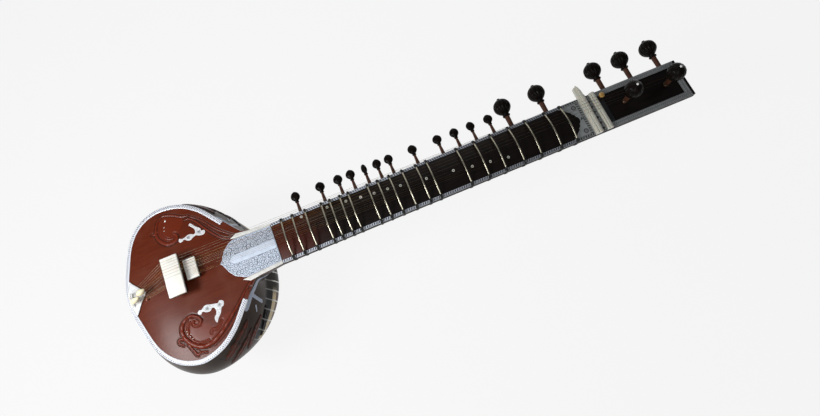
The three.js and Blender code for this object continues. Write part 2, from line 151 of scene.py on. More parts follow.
def tube(path, radius, sides=10):
    """A round tube along a path, its ends closed."""
    path = np.asarray(path, float)
    radius = np.broadcast_to(radius, (len(path),))
    tangent = np.gradient(path, axis=0)
    tangent /= np.linalg.norm(tangent, axis=1)[:, None]
    side = np.array([0.0, 1.0, 0.0]) if abs(tangent[0][1]) < 0.9 else np.array([0.0, 0.0, 1.0])
    rings = []
    for p, t, r in zip(path, tangent, radius):
        side = side - t * np.dot(side, t)
        side /= np.linalg.norm(side)
        up = np.cross(t, side)
        a = np.arange(sides) / sides * 2 * np.pi
        rings.append(p + r * (np.cos(a)[:, None] * side + np.sin(a)[:, None] * up))
    return loft(rings)


def catmull(points, steps):
    """Points along a smooth curve through the given ones."""
    points = np.asarray(points, float)
    n = len(points)
    out = []
    for t in np.linspace(0, n - 1, steps + 1):
        i = min(int(t), n - 2)
        w = t - i
        p0, p1 = points[max(i - 1, 0)], points[i]
        p2, p3 = points[i + 1], points[min(i + 2, n - 1)]
        out.append(0.5 * (2 * p1 + (p2 - p0) * w + (2 * p0 - 5 * p1 + 4 * p2 - p3) * w**2
                          + (3 * p1 - p0 - 3 * p2 + p3) * w**3))
    return np.array(out)


def evenly(outline, count, closed=True):
    """The outline again, as count points evenly spaced along it."""
    outline = np.asarray(outline, float)
    if closed:
        outline = np.concatenate([outline, outline[:1]])
    length = np.concatenate([[0], np.cumsum(np.linalg.norm(np.diff(outline, axis=0), axis=1))])
    s = np.linspace(0, length[-1], count, endpoint=not closed)
    return np.stack([np.interp(s, length, outline[:, i]) for i in range(outline.shape[1])], 1)


def to_polyline(x, y, line):
    """Distance from each (x, y) to a polyline, and how far along it (0 to 1) the nearest point is."""
    line = np.asarray(line, float)
    best = np.full(x.shape, 1e9)
    along = np.zeros(x.shape)
    for k in range(len(line) - 1):
        a, d = line[k], line[k + 1] - line[k]
        t = np.clip(((x - a[0]) * d[0] + (y - a[1]) * d[1]) / max(d @ d, 1e-9), 0, 1)
        r = np.hypot(x - a[0] - t * d[0], y - a[1] - t * d[1])
        near = r < best
        best = np.where(near, r, best)
        along = np.where(near, (k + t) / (len(line) - 1), along)
    return best, along


def inside(x, y, outline):
    outline = np.asarray(outline, float)
    hit = np.zeros(x.shape, bool)
    for (x0, y0), (x1, y1) in zip(outline, np.roll(outline, -1, 0)):
        cross = (y0 > y) != (y1 > y)
        if y0 != y1:
            hit ^= cross & (x < x0 + (y - y0) * (x1 - x0) / (y1 - y0))
    return hit


def step(a, b, x):
    t = np.clip((x - a) / (b - a), 0, 1)
    return t * t * (3 - 2 * t)


def plaque(outline, cell, top, thick, edge=0.5):
    """A thin plate over an outline; top(x, y) is its face's height. Returns verts, faces and the face's x and y."""
    outline = evenly(outline, max(24, int(np.linalg.norm(np.diff(outline, axis=0), axis=1).sum() / cell * 1.3)))
    low, high = outline.min(0) - cell, outline.max(0) + cell
    nx, ny = [int(math.ceil((high[i] - low[i]) / cell)) + 1 for i in (0, 1)]
    gx, gy = np.meshgrid(low[0] + np.arange(nx) * cell, low[1] + np.arange(ny) * cell, indexing="ij")
    gx, gy = gx.ravel(), gy.ravel()
    closed = np.concatenate([outline, outline[:1]])
    within = inside(gx, gy, outline)
    quads = grid_faces(nx, ny)
    keep = within[quads].any(1)
    quads = quads[keep]
    counts = np.bincount(quads.ravel(), minlength=len(gx))
    border = (counts > 0) & ((counts < 4) | ~within)
    idx = np.where(border)[0]
    best = np.full(len(idx), 1e9)
    snapped = np.stack([gx[idx], gy[idx]], 1)
    source = snapped.copy()
    for k in range(len(closed) - 1):
        a, d = closed[k], closed[k + 1] - closed[k]
        t = np.clip(((source - a) @ d) / max(d @ d, 1e-9), 0, 1)
        p = a + t[:, None] * d
        r = np.hypot(*(source - p).T)
        near = r < best
        best = np.where(near, r, best)
        snapped[near] = p[near]
    outer = ~within[idx]
    gx[idx[outer]], gy[idx[outer]] = snapped[outer].T
    used = np.unique(quads)
    remap = np.full(len(gx), -1)
    remap[used] = np.arange(len(used))
    quads = remap[quads]
    x, y = gx[used], gy[used]
    n = len(used)
    dist, _ = to_polyline(x, y, closed[:: max(1, len(closed) // 160)])
    z = top(x, y) - edge * (1 - step(0, edge * 1.2, dist)) * 0.6
    verts = np.concatenate([np.stack([x, y, z], 1), np.stack([x, y, top(x, y) - thick], 1)])
    edges = np.sort(np.concatenate([quads[:, [0, 1]], quads[:, [1, 2]], quads[:, [2, 3]], quads[:, [3, 0]]]), 1)
    directed = np.concatenate([quads[:, [0, 1]], quads[:, [1, 2]], quads[:, [2, 3]], quads[:, [3, 0]]])
    key = edges[:, 0].astype(np.int64) * n + edges[:, 1]
    _, first, count = np.unique(key, return_index=True, return_counts=True)
    rim = directed[first[count == 1]]
    walls = np.stack([rim[:, 0], rim[:, 0] + n, rim[:, 1] + n, rim[:, 1]], 1)
    a, b, c = verts[quads[0][0]], verts[quads[0][1]], verts[quads[0][2]]
    if np.cross(b - a, c - a)[2] < 0:
        faces = np.concatenate([quads[:, ::-1], quads + n, walls[:, ::-1]])
    else:
        faces = np.concatenate([quads, quads[:, ::-1] + n, walls])
    return verts, faces.tolist(), x, y


def prism(outline, z0, z1, bevel=0.6, segments=3):
    """A bevelled block over a plan outline."""
    bm = bmesh.new()
    base = [bm.verts.new((x, y, z0)) for x, y in outline]
    face = bm.faces.new(base)
    following = list(outline[1:]) + [outline[0]]
    turning = sum(x0 * y1 - x1 * y0 for (x0, y0), (x1, y1) in zip(outline, following))
    if face.normal.z > 0 or turning > 0:
        face.normal_flip()
    made = bmesh.ops.extrude_face_region(bm, geom=[face])
    top = [v for v in made["geom"] if isinstance(v, bmesh.types.BMVert)]
    bmesh.ops.translate(bm, verts=top, vec=(0, 0, z1 - z0))
    bmesh.ops.recalc_face_normals(bm, faces=bm.faces)
    if bevel:
        edges = [e for e in bm.edges if e.calc_face_angle(0) > 0.4]
        bmesh.ops.bevel(bm, geom=edges, offset=bevel, segments=segments, affect="EDGES", profile=0.5)
    verts = [list(v.co) for v in bm.verts]
    bm.verts.index_update()
    faces = [[v.index for v in f.verts] for f in bm.faces]
    bm.free()
    return np.array(verts), faces


def block(x, y, z, bevel=0.6):
    return prism([(x[0], y[0]), (x[1], y[0]), (x[1], y[1]), (x[0], y[1])], z[0], z[1], bevel)


# ------------------------------------------------------------------ materials
class Shade:
    """A material written as sums on shader sockets."""

    def __init__(self, name, rough=0.4, metal=0.0, coat=0.0, coat_rough=0.1, specular=0.5):
        self.mat = bpy.data.materials.new(name)
        self.mat.use_nodes = True
        self.tree = self.mat.node_tree
        self.tree.nodes.clear()
        out = self.tree.nodes.new("ShaderNodeOutputMaterial")
        self.bsdf = self.tree.nodes.new("ShaderNodeBsdfPrincipled")
        self.tree.links.new(self.bsdf.outputs[0], out.inputs[0])
        self.bsdf.inputs["Roughness"].default_value = rough
        self.bsdf.inputs["Metallic"].default_value = metal
        self.bsdf.inputs["Coat Weight"].default_value = coat
        self.bsdf.inputs["Coat Roughness"].default_value = coat_rough
        self.bsdf.inputs["Specular IOR Level"].default_value = specular
        coord = self.node("ShaderNodeTexCoord").outputs["Object"]
        metres = self.vector("SUBTRACT", coord, tuple(ORIGIN / 1000))
        self.at = self.vector("SCALE", metres, scale=1000)
        split = self.node("ShaderNodeSeparateXYZ")
        self.put(split.inputs[0], self.at)
        self.x, self.y, self.z = split.outputs

    def node(self, kind, **props):
        n = self.tree.nodes.new(kind)
        for key, value in props.items():
            setattr(n, key, value)
        return n

    def put(self, socket, value):
        if isinstance(value, bpy.types.NodeSocket):
            self.tree.links.new(value, socket)
        else:
            socket.default_value = value

    def calc(self, op, a, b=None, c=None):
        n = self.node("ShaderNodeMath", operation=op)
        for socket, value in zip(n.inputs, (a, b, c)):
            if value is not None:
                self.put(socket, value)
        return n.outputs[0]

    def vector(self, op, a, b=None, scale=None):
        n = self.node("ShaderNodeVectorMath", operation=op)
        self.put(n.inputs[0], a)
        if b is not None:
            self.put(n.inputs[1], b)
        if scale is not None:
            self.put(n.inputs["Scale"], scale)
        return n.outputs[0]

    def noise(self, stretch=(1, 1, 1), scale=0.1, detail=4, rough=0.55, twist=0.0):
        """Noise whose features are about 1/scale millimetres, finer where stretch is above 1."""
        n = self.node("ShaderNodeTexNoise")
        self.put(n.inputs["Vector"], self.vector("MULTIPLY", self.at, tuple(stretch)))
        for key, value in (("Scale", scale), ("Detail", detail), ("Roughness", rough), ("Distortion", twist)):
            n.inputs[key].default_value = value
        return n.outputs["Fac"]

    def attribute(self, name):
        return self.node("ShaderNodeAttribute", attribute_name=name).outputs["Fac"]

    def between(self, low, high, x):
        """0 below low, 1 above high, smooth between."""
        n = self.node("ShaderNodeMapRange", interpolation_type="SMOOTHSTEP")
        self.put(n.inputs[0], x)
        n.inputs[1].default_value = low
        n.inputs[2].default_value = high
        return n.outputs[0]

    def ramp(self, fac, *stops):
        n = self.node("ShaderNodeValToRGB")
        self.put(n.inputs[0], fac)
        while len(n.color_ramp.elements) < len(stops):
            n.color_ramp.elements.new(0.5)
        for e, (pos, color) in zip(n.color_ramp.elements, stops):
            e.position = pos
            e.color = (*color, 1)
        return n.outputs[0]

    def mix(self, fac, a, b, how="MIX"):
        n = self.node("ShaderNodeMix", data_type="RGBA", blend_type=how)
        self.put(n.inputs[0], fac)
        for socket, value in ((n.inputs[6], a), (n.inputs[7], b)):
            self.put(socket, (*value, 1) if isinstance(value, tuple) else value)
        return n.outputs[2]

    def color(self, value):
        self.put(self.bsdf.inputs["Base Color"], (*value, 1) if isinstance(value, tuple) else value)
        return self

    def rough(self, value):
        self.put(self.bsdf.inputs["Roughness"], value)
        return self

    def bump(self, height, distance, strength=1.0, coat=False):
        n = self.node("ShaderNodeBump")
        n.inputs["Strength"].default_value = strength
        n.inputs["Distance"].default_value = distance / 1000
        self.put(n.inputs["Height"], height)
        self.put(self.bsdf.inputs["Normal"], n.outputs[0])
        if coat:
            self.put(self.bsdf.inputs["Coat Normal"], n.outputs[0])
        return self

    def painted_light_falloff(self, color, near=1.0, far=1.0, x0=150, x1=1000):
        """The colour darkened towards the peghead: painted light falloff, the light dimming away from the bowl."""
        t = self.between(x0, x1, self.x)
        k = self.calc("MULTIPLY_ADD", t, far - near, near)
        return self.mix(1.0, color, self.node_grey(k), "MULTIPLY")

    def node_grey(self, value):
        n = self.node("ShaderNodeCombineColor")
        for socket in n.inputs:
            self.put(socket, value)
        return n.outputs[0]


def wood(name, dark, light, stretch=(0.06, 1, 1), scale=0.35, rough=0.38, coat=0.0, coat_rough=0.12, pores=0.05,
         specular=0.5):
    s = Shade(name, rough, coat=coat, coat_rough=coat_rough, specular=specular)
    grain = s.noise(stretch, scale, 6, 0.6, 0.6)
    broad = s.noise((0.3, 1, 1), scale * 0.12, 2)
    s.color(s.mix(s.between(0.3, 0.7, broad), s.ramp(grain, (0.25, dark), (0.75, light)),
                  s.ramp(grain, (0.3, tuple(c * 0.72 for c in dark)), (0.8, tuple(c * 0.8 for c in light)))))
    pore = s.noise((0.12, 1, 1), 2.2, 3, 0.6)
    wear = s.noise((1, 1, 1), 0.04, 5, 0.6)
    s.rough(s.calc("MULTIPLY_ADD", wear, 0.16, rough - 0.08))
    return s.bump(pore, pores, 0.6)


def soundboard_wood():
    s = Shade("soundboard_wood", 0.34, coat=0.165, coat_rough=0.24, specular=0.13)
    grain = s.noise((0.035, 1, 1), 0.28, 7, 0.62, 0.5)
    fine = s.noise((0.05, 1, 1), 1.4, 3, 0.6)
    base = s.ramp(grain, (0.2, (0.078, 0.0125, 0.0045)), (0.5, (0.108, 0.0175, 0.006)), (0.8, (0.138, 0.026, 0.009)))
    streak = s.ramp(fine, (0.35, (0.7, 0.62, 0.6)), (0.6, (1, 1, 1)))
    base = s.mix(0.35, base, streak, "MULTIPLY")
    blotch = s.noise((1, 1, 1), 0.018, 3, 0.5, 0.4)
    base = s.mix(s.between(0.42, 0.72, blotch), base, (0.118, 0.027, 0.013))
    # the carved grooves painted near black: painted shade in the cuts
    base = s.mix(s.attribute("groove"), base, (0.02, 0.006, 0.004))
    s.color(s.mix(s.attribute("ridge"), base, (0.15, 0.02, 0.0065)))
    s.rough(s.calc("MULTIPLY_ADD", blotch, 0.25, 0.24))
    return s.bump(s.calc("ADD", s.calc("MULTIPLY", fine, 0.6), s.noise((1, 1, 1), 0.02, 2)), 0.12, 0.5, True).mat


def lacquer(name="gourd_lacquer", base=(0.02, 0.014, 0.011), light=(0.045, 0.028, 0.02)):
    s = Shade(name, 0.3, coat=0.05, coat_rough=0.08, specular=0.05)
    streak = s.noise((1, 1, 0.2), 0.05, 5, 0.6, 0.8)
    color = s.ramp(streak, (0.3, base), (0.75, light))
    # the carved leaves tinted red-brown in noisy patches
    color = s.mix(s.calc("MULTIPLY", s.attribute("leaf_red"), s.between(0.35, 0.6, s.noise((1, 1, 1), 0.12, 4))),
                  color, (0.085, 0.017, 0.01))
    # the inlaid shoulder band: black, then cream with a dark red edge, crossed by thin white fillets
    band = s.attribute("band")
    cream = s.mix(s.noise((1, 1, 1), 0.2, 4), (0.42, 0.33, 0.2), (0.55, 0.46, 0.3))
    color = s.mix(s.between(0.02, 0.06, band), color, (0.006, 0.006, 0.006))
    color = s.mix(s.between(0.43, 0.46, band), color, cream)
    color = s.mix(s.between(0.66, 0.69, band), color, (0.05, 0.008, 0.008))
    color = s.mix(s.between(0.97, 0.99, band), color, base)
    angle = s.calc("ARCTAN2", s.calc("SUBTRACT", s.y, 1.8), s.calc("ADD", s.x, 6.8))
    turn = s.calc("FRACT", s.calc("MULTIPLY", s.calc("ABSOLUTE", angle), 180 / math.pi / 7.4))
    # below about 25 degrees from the neck the band is painted darker still: painted shadow of the neck
    shade = s.calc("SUBTRACT", 1.0, s.between(19, 29, s.calc("MULTIPLY", s.calc("ABSOLUTE", angle), 57.3)))
    color = s.mix(s.calc("MULTIPLY", shade, s.between(0.03, 0.06, band)), color, (0.012, 0.01, 0.006))
    line = s.calc("LESS_THAN", s.calc("ABSOLUTE", s.calc("SUBTRACT", turn, 0.176)), 0.065)
    line = s.calc("MULTIPLY", line, s.calc("MULTIPLY", s.between(0.03, 0.06, band),
                                           s.calc("SUBTRACT", 1.0, s.between(0.94, 0.98, band))))
    color = s.mix(line, color, s.mix(s.between(0.35, 0.55, band), (0.16, 0.16, 0.155), (0.6, 0.6, 0.57)))
    white = s.attribute("white")
    speck = s.noise((1, 1, 1), 0.7, 3)
    pale = s.mix(s.between(0.5, 0.62, speck), (0.34, 0.38, 0.46), (0.2, 0.23, 0.3))
    s.color(s.mix(s.between(0.4, 0.6, white), color, pale))
    s.rough(s.calc("MULTIPLY_ADD", streak, 0.2, 0.2))
    return s.bump(s.noise((1, 1, 1), 0.035, 3), 0.6, 0.35, True).mat


def inlay(name, pale=(0.62, 0.67, 0.77), ink=(0.2, 0.235, 0.3), tone=1.0, rough=0.36):
    """White inlay sheet with dark filler in its engraving."""
    s = Shade(name, rough, coat=0.25, coat_rough=0.15)
    cloud = s.noise((1, 1, 1), 0.09, 4)
    body = s.mix(s.between(0.35, 0.7, cloud), tuple(c * tone for c in pale), tuple(c * tone * 0.86 for c in pale))
    s.color(s.mix(s.attribute("ink"), body, tuple(c * tone for c in ink)))
    s.rough(s.calc("MULTIPLY_ADD", cloud, 0.2, rough - 0.1))
    return s.bump(s.noise((1, 1, 1), 1.1, 2), 0.04, 0.5).mat


def bone(name, near=1.0, far=1.0, base=(0.86, 0.85, 0.8), x0=150, x1=900):
    s = Shade(name, 0.32, coat=0.2, coat_rough=0.2)
    s.bsdf.inputs["Subsurface Weight"].default_value = 0.08
    s.bsdf.inputs["Subsurface Scale"].default_value = 0.003
    lines = s.noise((1, 0.08, 1), 0.8, 5, 0.6)
    stain = s.noise((1, 1, 1), 0.06, 4)
    color = s.mix(s.between(0.5, 0.8, lines), base, tuple(c * k for c, k in zip(base, (0.9, 0.87, 0.78))))
    color = s.mix(s.calc("MULTIPLY", s.between(0.55, 0.75, stain), 0.4), color, (0.6, 0.53, 0.4))
    # near and far dim the colour along x: painted light falloff
    s.color(s.painted_light_falloff(color, near, far, x0, x1))
    s.rough(s.calc("MULTIPLY_ADD", stain, 0.25, 0.22))
    return s.bump(lines, 0.05, 0.5).mat


def metal(name, color, rough=0.25, tint=None, fade=(1.0, 1.0), shaded=None):
    s = Shade(name, rough, metal=1.0)
    scratch = s.noise((2.5, 0.1, 1), 1.2, 4, 0.7)
    tarnish = s.noise((1, 1, 1), 0.12, 4)
    tone = s.mix(s.between(0.45, 0.75, tarnish), color, tint or tuple(c * 0.72 for c in color))
    # where the attribute is 0, on the fret rods' flanks and underside, the metal is darkened to a sixth: tarnish on the
    # flanks and painted shade under the rod
    if shaded:
        tone = s.mix(s.attribute(shaded), tuple(c * 0.16 for c in color), tone)
    # fade dims the colour between x 150 and 500: painted light falloff
    s.color(s.painted_light_falloff(tone, *fade, 150, 500))
    s.rough(s.calc("MULTIPLY_ADD", scratch, 0.3, rough - 0.1))
    return s.bump(scratch, 0.02, 0.5).mat


def board_wood():
    """The fingerboard's wood, red-brown at the bowl and painted almost black towards the peghead: painted light
    falloff.
    """
    s = Shade("fingerboard_wood", 0.34, coat=0.04, coat_rough=0.15, specular=0.12)
    grain = s.noise((0.04, 1, 1), 0.5, 6, 0.62, 0.4)
    red = s.ramp(grain, (0.3, (0.04, 0.0075, 0.004)), (0.75, (0.088, 0.0165, 0.0075)))
    black = s.ramp(grain, (0.3, (0.0045, 0.0034, 0.003)), (0.8, (0.013, 0.009, 0.0075)))
    edge = s.calc("ADD", s.x, s.calc("MULTIPLY", s.noise((1, 1, 1), 0.03, 3), 60))
    # red to black along x, with a ragged edge: painted light falloff
    s.color(s.mix(s.between(250, 350, edge), red, black))
    s.rough(s.calc("MULTIPLY_ADD", s.noise((0.3, 1, 1), 0.08, 4), 0.3, 0.22))
    return s.bump(s.noise((0.08, 1, 1), 2.0, 3, 0.6), 0.06, 0.6).mat


def dotted_binding():
    """White edging with two rows of small dots; u runs along it and v across it, in millimetres."""
    s = Shade("dotted_binding", 0.35, coat=0.3, coat_rough=0.15)
    uv = s.node("ShaderNodeSeparateXYZ")
    s.put(uv.inputs[0], s.node("ShaderNodeTexCoord").outputs["UV"])
    u, v = uv.outputs[0], uv.outputs[1]
    cloud = s.noise((1, 1, 1), 0.12, 3)
    color = s.mix(cloud, (0.88, 0.9, 0.95), (0.78, 0.81, 0.88))
    for row, shift in ((2.7, 0.0), (5.3, 0.5)):
        along = s.calc("SUBTRACT", s.calc("FRACT", s.calc("MULTIPLY_ADD", u, 1 / 4.0, shift)), 0.5)
        across = s.calc("SUBTRACT", v, row)
        r = s.calc("SQRT", s.calc("ADD", s.calc("POWER", s.calc("MULTIPLY", along, 4.0), 2.0),
                                  s.calc("POWER", across, 2.0)))
        color = s.mix(s.calc("SUBTRACT", 1.0, s.between(1.0, 1.3, r)), color, (0.05, 0.06, 0.09))
    for line in (0.7, 7.6):
        near = s.calc("ABSOLUTE", s.calc("SUBTRACT", v, line))
        color = s.mix(s.calc("MULTIPLY", s.calc("SUBTRACT", 1.0, s.between(0.15, 0.4, near)), 0.6), color,
                      (0.3, 0.33, 0.4))
    s.color(color)
    return s.bump(cloud, 0.05, 0.4).mat


def dashed_edge():
    """The neck's edging: engraved slanting dashes between two fine lines."""
    s = Shade("neck_edging", 0.36, coat=0.2, coat_rough=0.15)
    cloud = s.noise((1, 1, 1), 0.1, 3)
    color = s.mix(cloud, (0.72, 0.76, 0.84), (0.6, 0.64, 0.72))
    y = s.calc("ABSOLUTE", s.y)
    slant = s.calc("FRACT", s.calc("MULTIPLY", s.calc("MULTIPLY_ADD", y, 0.55, s.x), 1 / 5.0))
    dash = s.calc("MULTIPLY", s.between(0.42, 0.5, slant), s.calc("SUBTRACT", 1.0, s.between(0.94, 1.0, slant)))
    room = s.calc("MULTIPLY", s.between(37.8, 38.2, y), s.calc("SUBTRACT", 1.0, s.between(41.6, 42.0, y)))
    color = s.mix(s.calc("MULTIPLY", dash, room), color, (0.04, 0.05, 0.07))
    for line in (37.1, 42.6):
        near = s.calc("ABSOLUTE", s.calc("SUBTRACT", y, line))
        color = s.mix(s.calc("SUBTRACT", 1.0, s.between(0.25, 0.5, near)), color, (0.03, 0.035, 0.05))
    # darker towards the peghead: painted light falloff
    s.color(s.painted_light_falloff(color, 0.95, 0.42, 230, 760))
    return s.bump(cloud, 0.04, 0.4).mat


M = {
    "tabli": soundboard_wood(),
    "lacquer": lacquer(),
    "neck": wood("neck_lacquer", (0.012, 0.009, 0.007), (0.03, 0.022, 0.018), rough=0.42, coat=0.0, specular=0.02).mat,
    "board": board_wood(),
    "panel": wood("panel_wood", (0.004, 0.003, 0.0026), (0.011, 0.0075, 0.0065), rough=0.36, coat=0.03,
                  specular=0.12).mat,
    "rosewood": wood("rosewood", (0.05, 0.015, 0.009), (0.12, 0.04, 0.022), rough=0.42).mat,
    "pin": wood("pin_wood", (0.16, 0.035, 0.02), (0.34, 0.1, 0.06), rough=0.4).mat,
    # near-black wood for the bridges' lower blocks: painted shade
    "bridge_painted_shade": wood("bridge_painted_shade", (0.012, 0.009, 0.008), (0.03, 0.02, 0.017), rough=0.4).mat,
    "peg": wood("peg_black", (0.0035, 0.0028, 0.0025), (0.011, 0.0075, 0.006), stretch=(1, 0.1, 1), rough=0.28,
                coat=0.02, specular=0.05, pores=0.03).mat,
    "shaft": wood("peg_shaft", (0.045, 0.016, 0.009), (0.11, 0.042, 0.022), stretch=(1, 0.08, 1), scale=0.6,
                  rough=0.5, specular=0.2).mat,
    "bone": bone("bone"),
    # bone of the nut, guide and string-hole rings painted darker and dimming towards the peghead: painted light falloff
    "head_bone": bone("head_bone_painted_dim", 1.0, 0.85, (0.7, 0.69, 0.6), 100, 880),
    "bead": bone("pale_bead", base=(0.95, 0.88, 0.6)),
    "amber": bone("amber_bead", base=(0.5, 0.3, 0.085)),
    "brass": metal("fret_brass", (0.62, 0.58, 0.45), 0.24, shaded="crown"),
    # the strings dim to 0.3 towards the peghead: painted light falloff
    "steel": metal("string_steel", (0.36, 0.3, 0.22), 0.32, fade=(1.0, 0.3)),
    "bronze": metal("string_bronze", (0.36, 0.2, 0.075), 0.34, fade=(1.0, 0.3)),
    "thread": wood("tie_thread", (0.006, 0.0065, 0.006), (0.022, 0.024, 0.02), stretch=(1, 1, 1), scale=1.2,
                   rough=0.75, pores=0.1).mat,
    "binding": dotted_binding(),
    "edging": dashed_edge(),
    "joint": inlay("joint_inlay", (0.72, 0.81, 0.95), (0.035, 0.045, 0.075)),
    "white": inlay("white_inlay", (0.86, 0.88, 0.9), (0.09, 0.1, 0.12)),
    "cream": inlay("cream_inlay", (0.84, 0.84, 0.81), (0.4, 0.4, 0.36)),
    # the peghead's white inlay painted dark grey: painted light falloff towards the peghead
    "head": inlay("head_inlay", (0.25, 0.265, 0.27), (0.008, 0.009, 0.011)),
}

# ------------------------------------------------------------------ soundboard
HALF_OUTLINE = [(-114, 0), (-112, 24), (-105, 54), (-82, 115), (-50, 150.5), (-8, 165), (35, 157), (70, 134),
                (100, 99), (120, 72.5), (139, 50)]


def centre_line(x):
    return 2 + 0.075 * np.maximum(0, -x)


def edge_drop(x):
    return 14 * (np.maximum(0, 139 - x) / 253) ** 1.1


def face_outline(neck_end, steps=120):
    half = catmull(HALF_OUTLINE, steps)
    up = [(x, centre_line(x) + w) for x, w in half][::-1]
    down = [(x, centre_line(x) - w) for x, w in half[1:]]
    return np.array(up + down + [(x, -y) for x, y in neck_end] + list(neck_end)[::-1])


FACE = face_outline([(158, 47.8), (178, 45.6), (197.6, 43.6)])
MIDDLE = np.array([0.0, 4.0])


def face_height(x, y):
    """Height of the soundboard's plain surface, from the outline point on the same ray."""
    angle = np.arctan2(FACE[:, 1] - 4, FACE[:, 0])
    order = np.argsort(angle)
    a = np.arctan2(y - 4, x)
    rim = [np.interp(a, angle[order], FACE[order, i], period=2 * np.pi) for i in (0, 1)]
    share = np.clip(np.hypot(x, y - 4) / np.hypot(rim[0], rim[1] - 4), 0, 1)
    return -edge_drop(rim[0]) * share**2.5


# Carved vines: a line, its half width at the start, middle and end, and its height.
VINES = [
    ([(-6, 148), (-16, 139), (-23, 121), (-23, 106), (-16, 94), (-5, 85), (8, 85), (15, 90), (15, 98), (10, 101),
      (6, 97)], (1.4, 3.9, 1.9), 1.7),
    ([(-20, 119), (-27, 116), (-33, 118)], (1.8, 2.4, 1.0), 1.2),
    ([(-6, 148), (1, 148), (18, 141), (34, 131), (47, 128)], (1.4, 2.0, 1.0), 1.0),
    ([(37, 121), (47, 120), (58, 110), (71, 90), (86, 69), (100, 54), (120, 43)], (1.0, 2.2, 1.2), 1.6),
    ([(-3, 136), (-11, 127), (-14, 114), (-10, 102), (-2, 95), (6, 93)], (0.8, 1.5, 0.9), 0.9),
    ([(48, 126), (70, 107), (89, 82), (106, 65), (129, 46)], (0.8, 1.4, 0.8), 0.8),
    ([(17, -84), (11, -76), (-1, -70), (-15, -76), (-23, -88), (-23, -102), (-17, -115), (-6, -127), (9, -134),
      (27, -132), (45, -123), (60, -112), (78, -97), (95, -82), (118, -60), (131, -50)], (2.6, 4.2, 1.6), 2.2),
    ([(17, -84), (13, -91), (6, -91), (1, -87), (3, -82)], (2.2, 1.8, 1.6), 1.6),
    ([(-4, -80), (-11, -90), (-13, -102), (-8, -116), (4, -125), (21, -126)], (1.0, 2.0, 1.0), 1.2),
    ([(-20, -116), (-25, -107), (-33, -104), (-35, -111), (-28, -117)], (1.8, 2.0, 1.6), 1.3),
    ([(-19, -120), (-13, -134), (-8, -144), (-1, -142), (11, -145)], (1.6, 2.2, 1.0), 1.2),
    ([(29, -115), (34, -110), (41, -111), (48, -107), (54, -100)], (1.4, 1.7, 0.8), 1.1),
    ([(28, -138), (51, -127), (71, -113), (88, -98), (106, -80), (124, -63)], (1.0, 1.6, 0.9), 0.9),
]
# The fields the vines enclose are stained a brighter red.
FIELDS = [
    [(-6, 146), (-16, 138), (-22, 121), (-22, 106), (-15, 95), (-5, 87), (8, 86), (15, 92), (26, 104), (38, 121),
     (34, 130), (18, 140), (1, 147)],
    [(15, -84), (-1, -72), (-14, -78), (-21, -88), (-21, -102), (-16, -113), (-5, -125), (9, -132), (27, -130),
     (44, -121), (60, -110), (78, -95), (72, -88), (56, -92), (40, -104), (28, -96)],
]
DOTS = [(0, 135, 1.9), (-5, 122, 1.0), (-6, 115, 1.0), (-15, -95, 0.9), (-15, -100, 0.9), (-9, -103, 0.9),
        (-11, -107, 0.9), (-8, -112, 0.9)]


def carving(x, y):
    """Height, ridge and groove of the carved vines over the plain surface."""
    height = np.zeros(x.shape)
    ridge = np.zeros(x.shape)
    groove = np.zeros(x.shape)
    for line, (w0, w1, w2), tall in VINES:
        curve = catmull(line, len(line) * 7)
        box = (x > curve[:, 0].min() - 12) & (x < curve[:, 0].max() + 12) & (y > curve[:, 1].min() - 12) \
            & (y < curve[:, 1].max() + 12)
        d, t = to_polyline(x[box], y[box], curve)
        w = np.where(t < 0.5, w0 + (w1 - w0) * step(0, 0.5, t), w1 + (w2 - w1) * step(0.5, 1, t))
        dome = np.sqrt(np.clip(1 - (d / w) ** 2, 0, 1)) * tall * np.clip(w / 2.4, 0.5, 1)
        notch = 0.25 * np.sin(t * len(line) * 7) * (d < w * 0.8) * (tall > 1.9)
        cut = np.exp(-(((d - w - 1.0) / 1.1) ** 2)) * (d > w * 0.9)
        height[box] = np.maximum(height[box], dome + notch)
        ridge[box] = np.maximum(ridge[box], (d < w * 0.95) * 0.9)
        groove[box] = np.maximum(groove[box], cut)
    for field in FIELDS:
        closed = catmull(field + field[:1], 120)[:-1]
        box = (np.abs(x - closed[:, 0].mean()) < 70) & (np.abs(y - closed[:, 1].mean()) < 60)
        d, _ = to_polyline(x[box], y[box], np.concatenate([closed, closed[:1]]))
        ridge[box] = np.maximum(ridge[box], inside(x[box], y[box], closed) * step(0, 5, d) * 0.65)
    return height - 0.7 * groove * (height < 0.3), ridge, groove * (height < 0.4) * 0.8


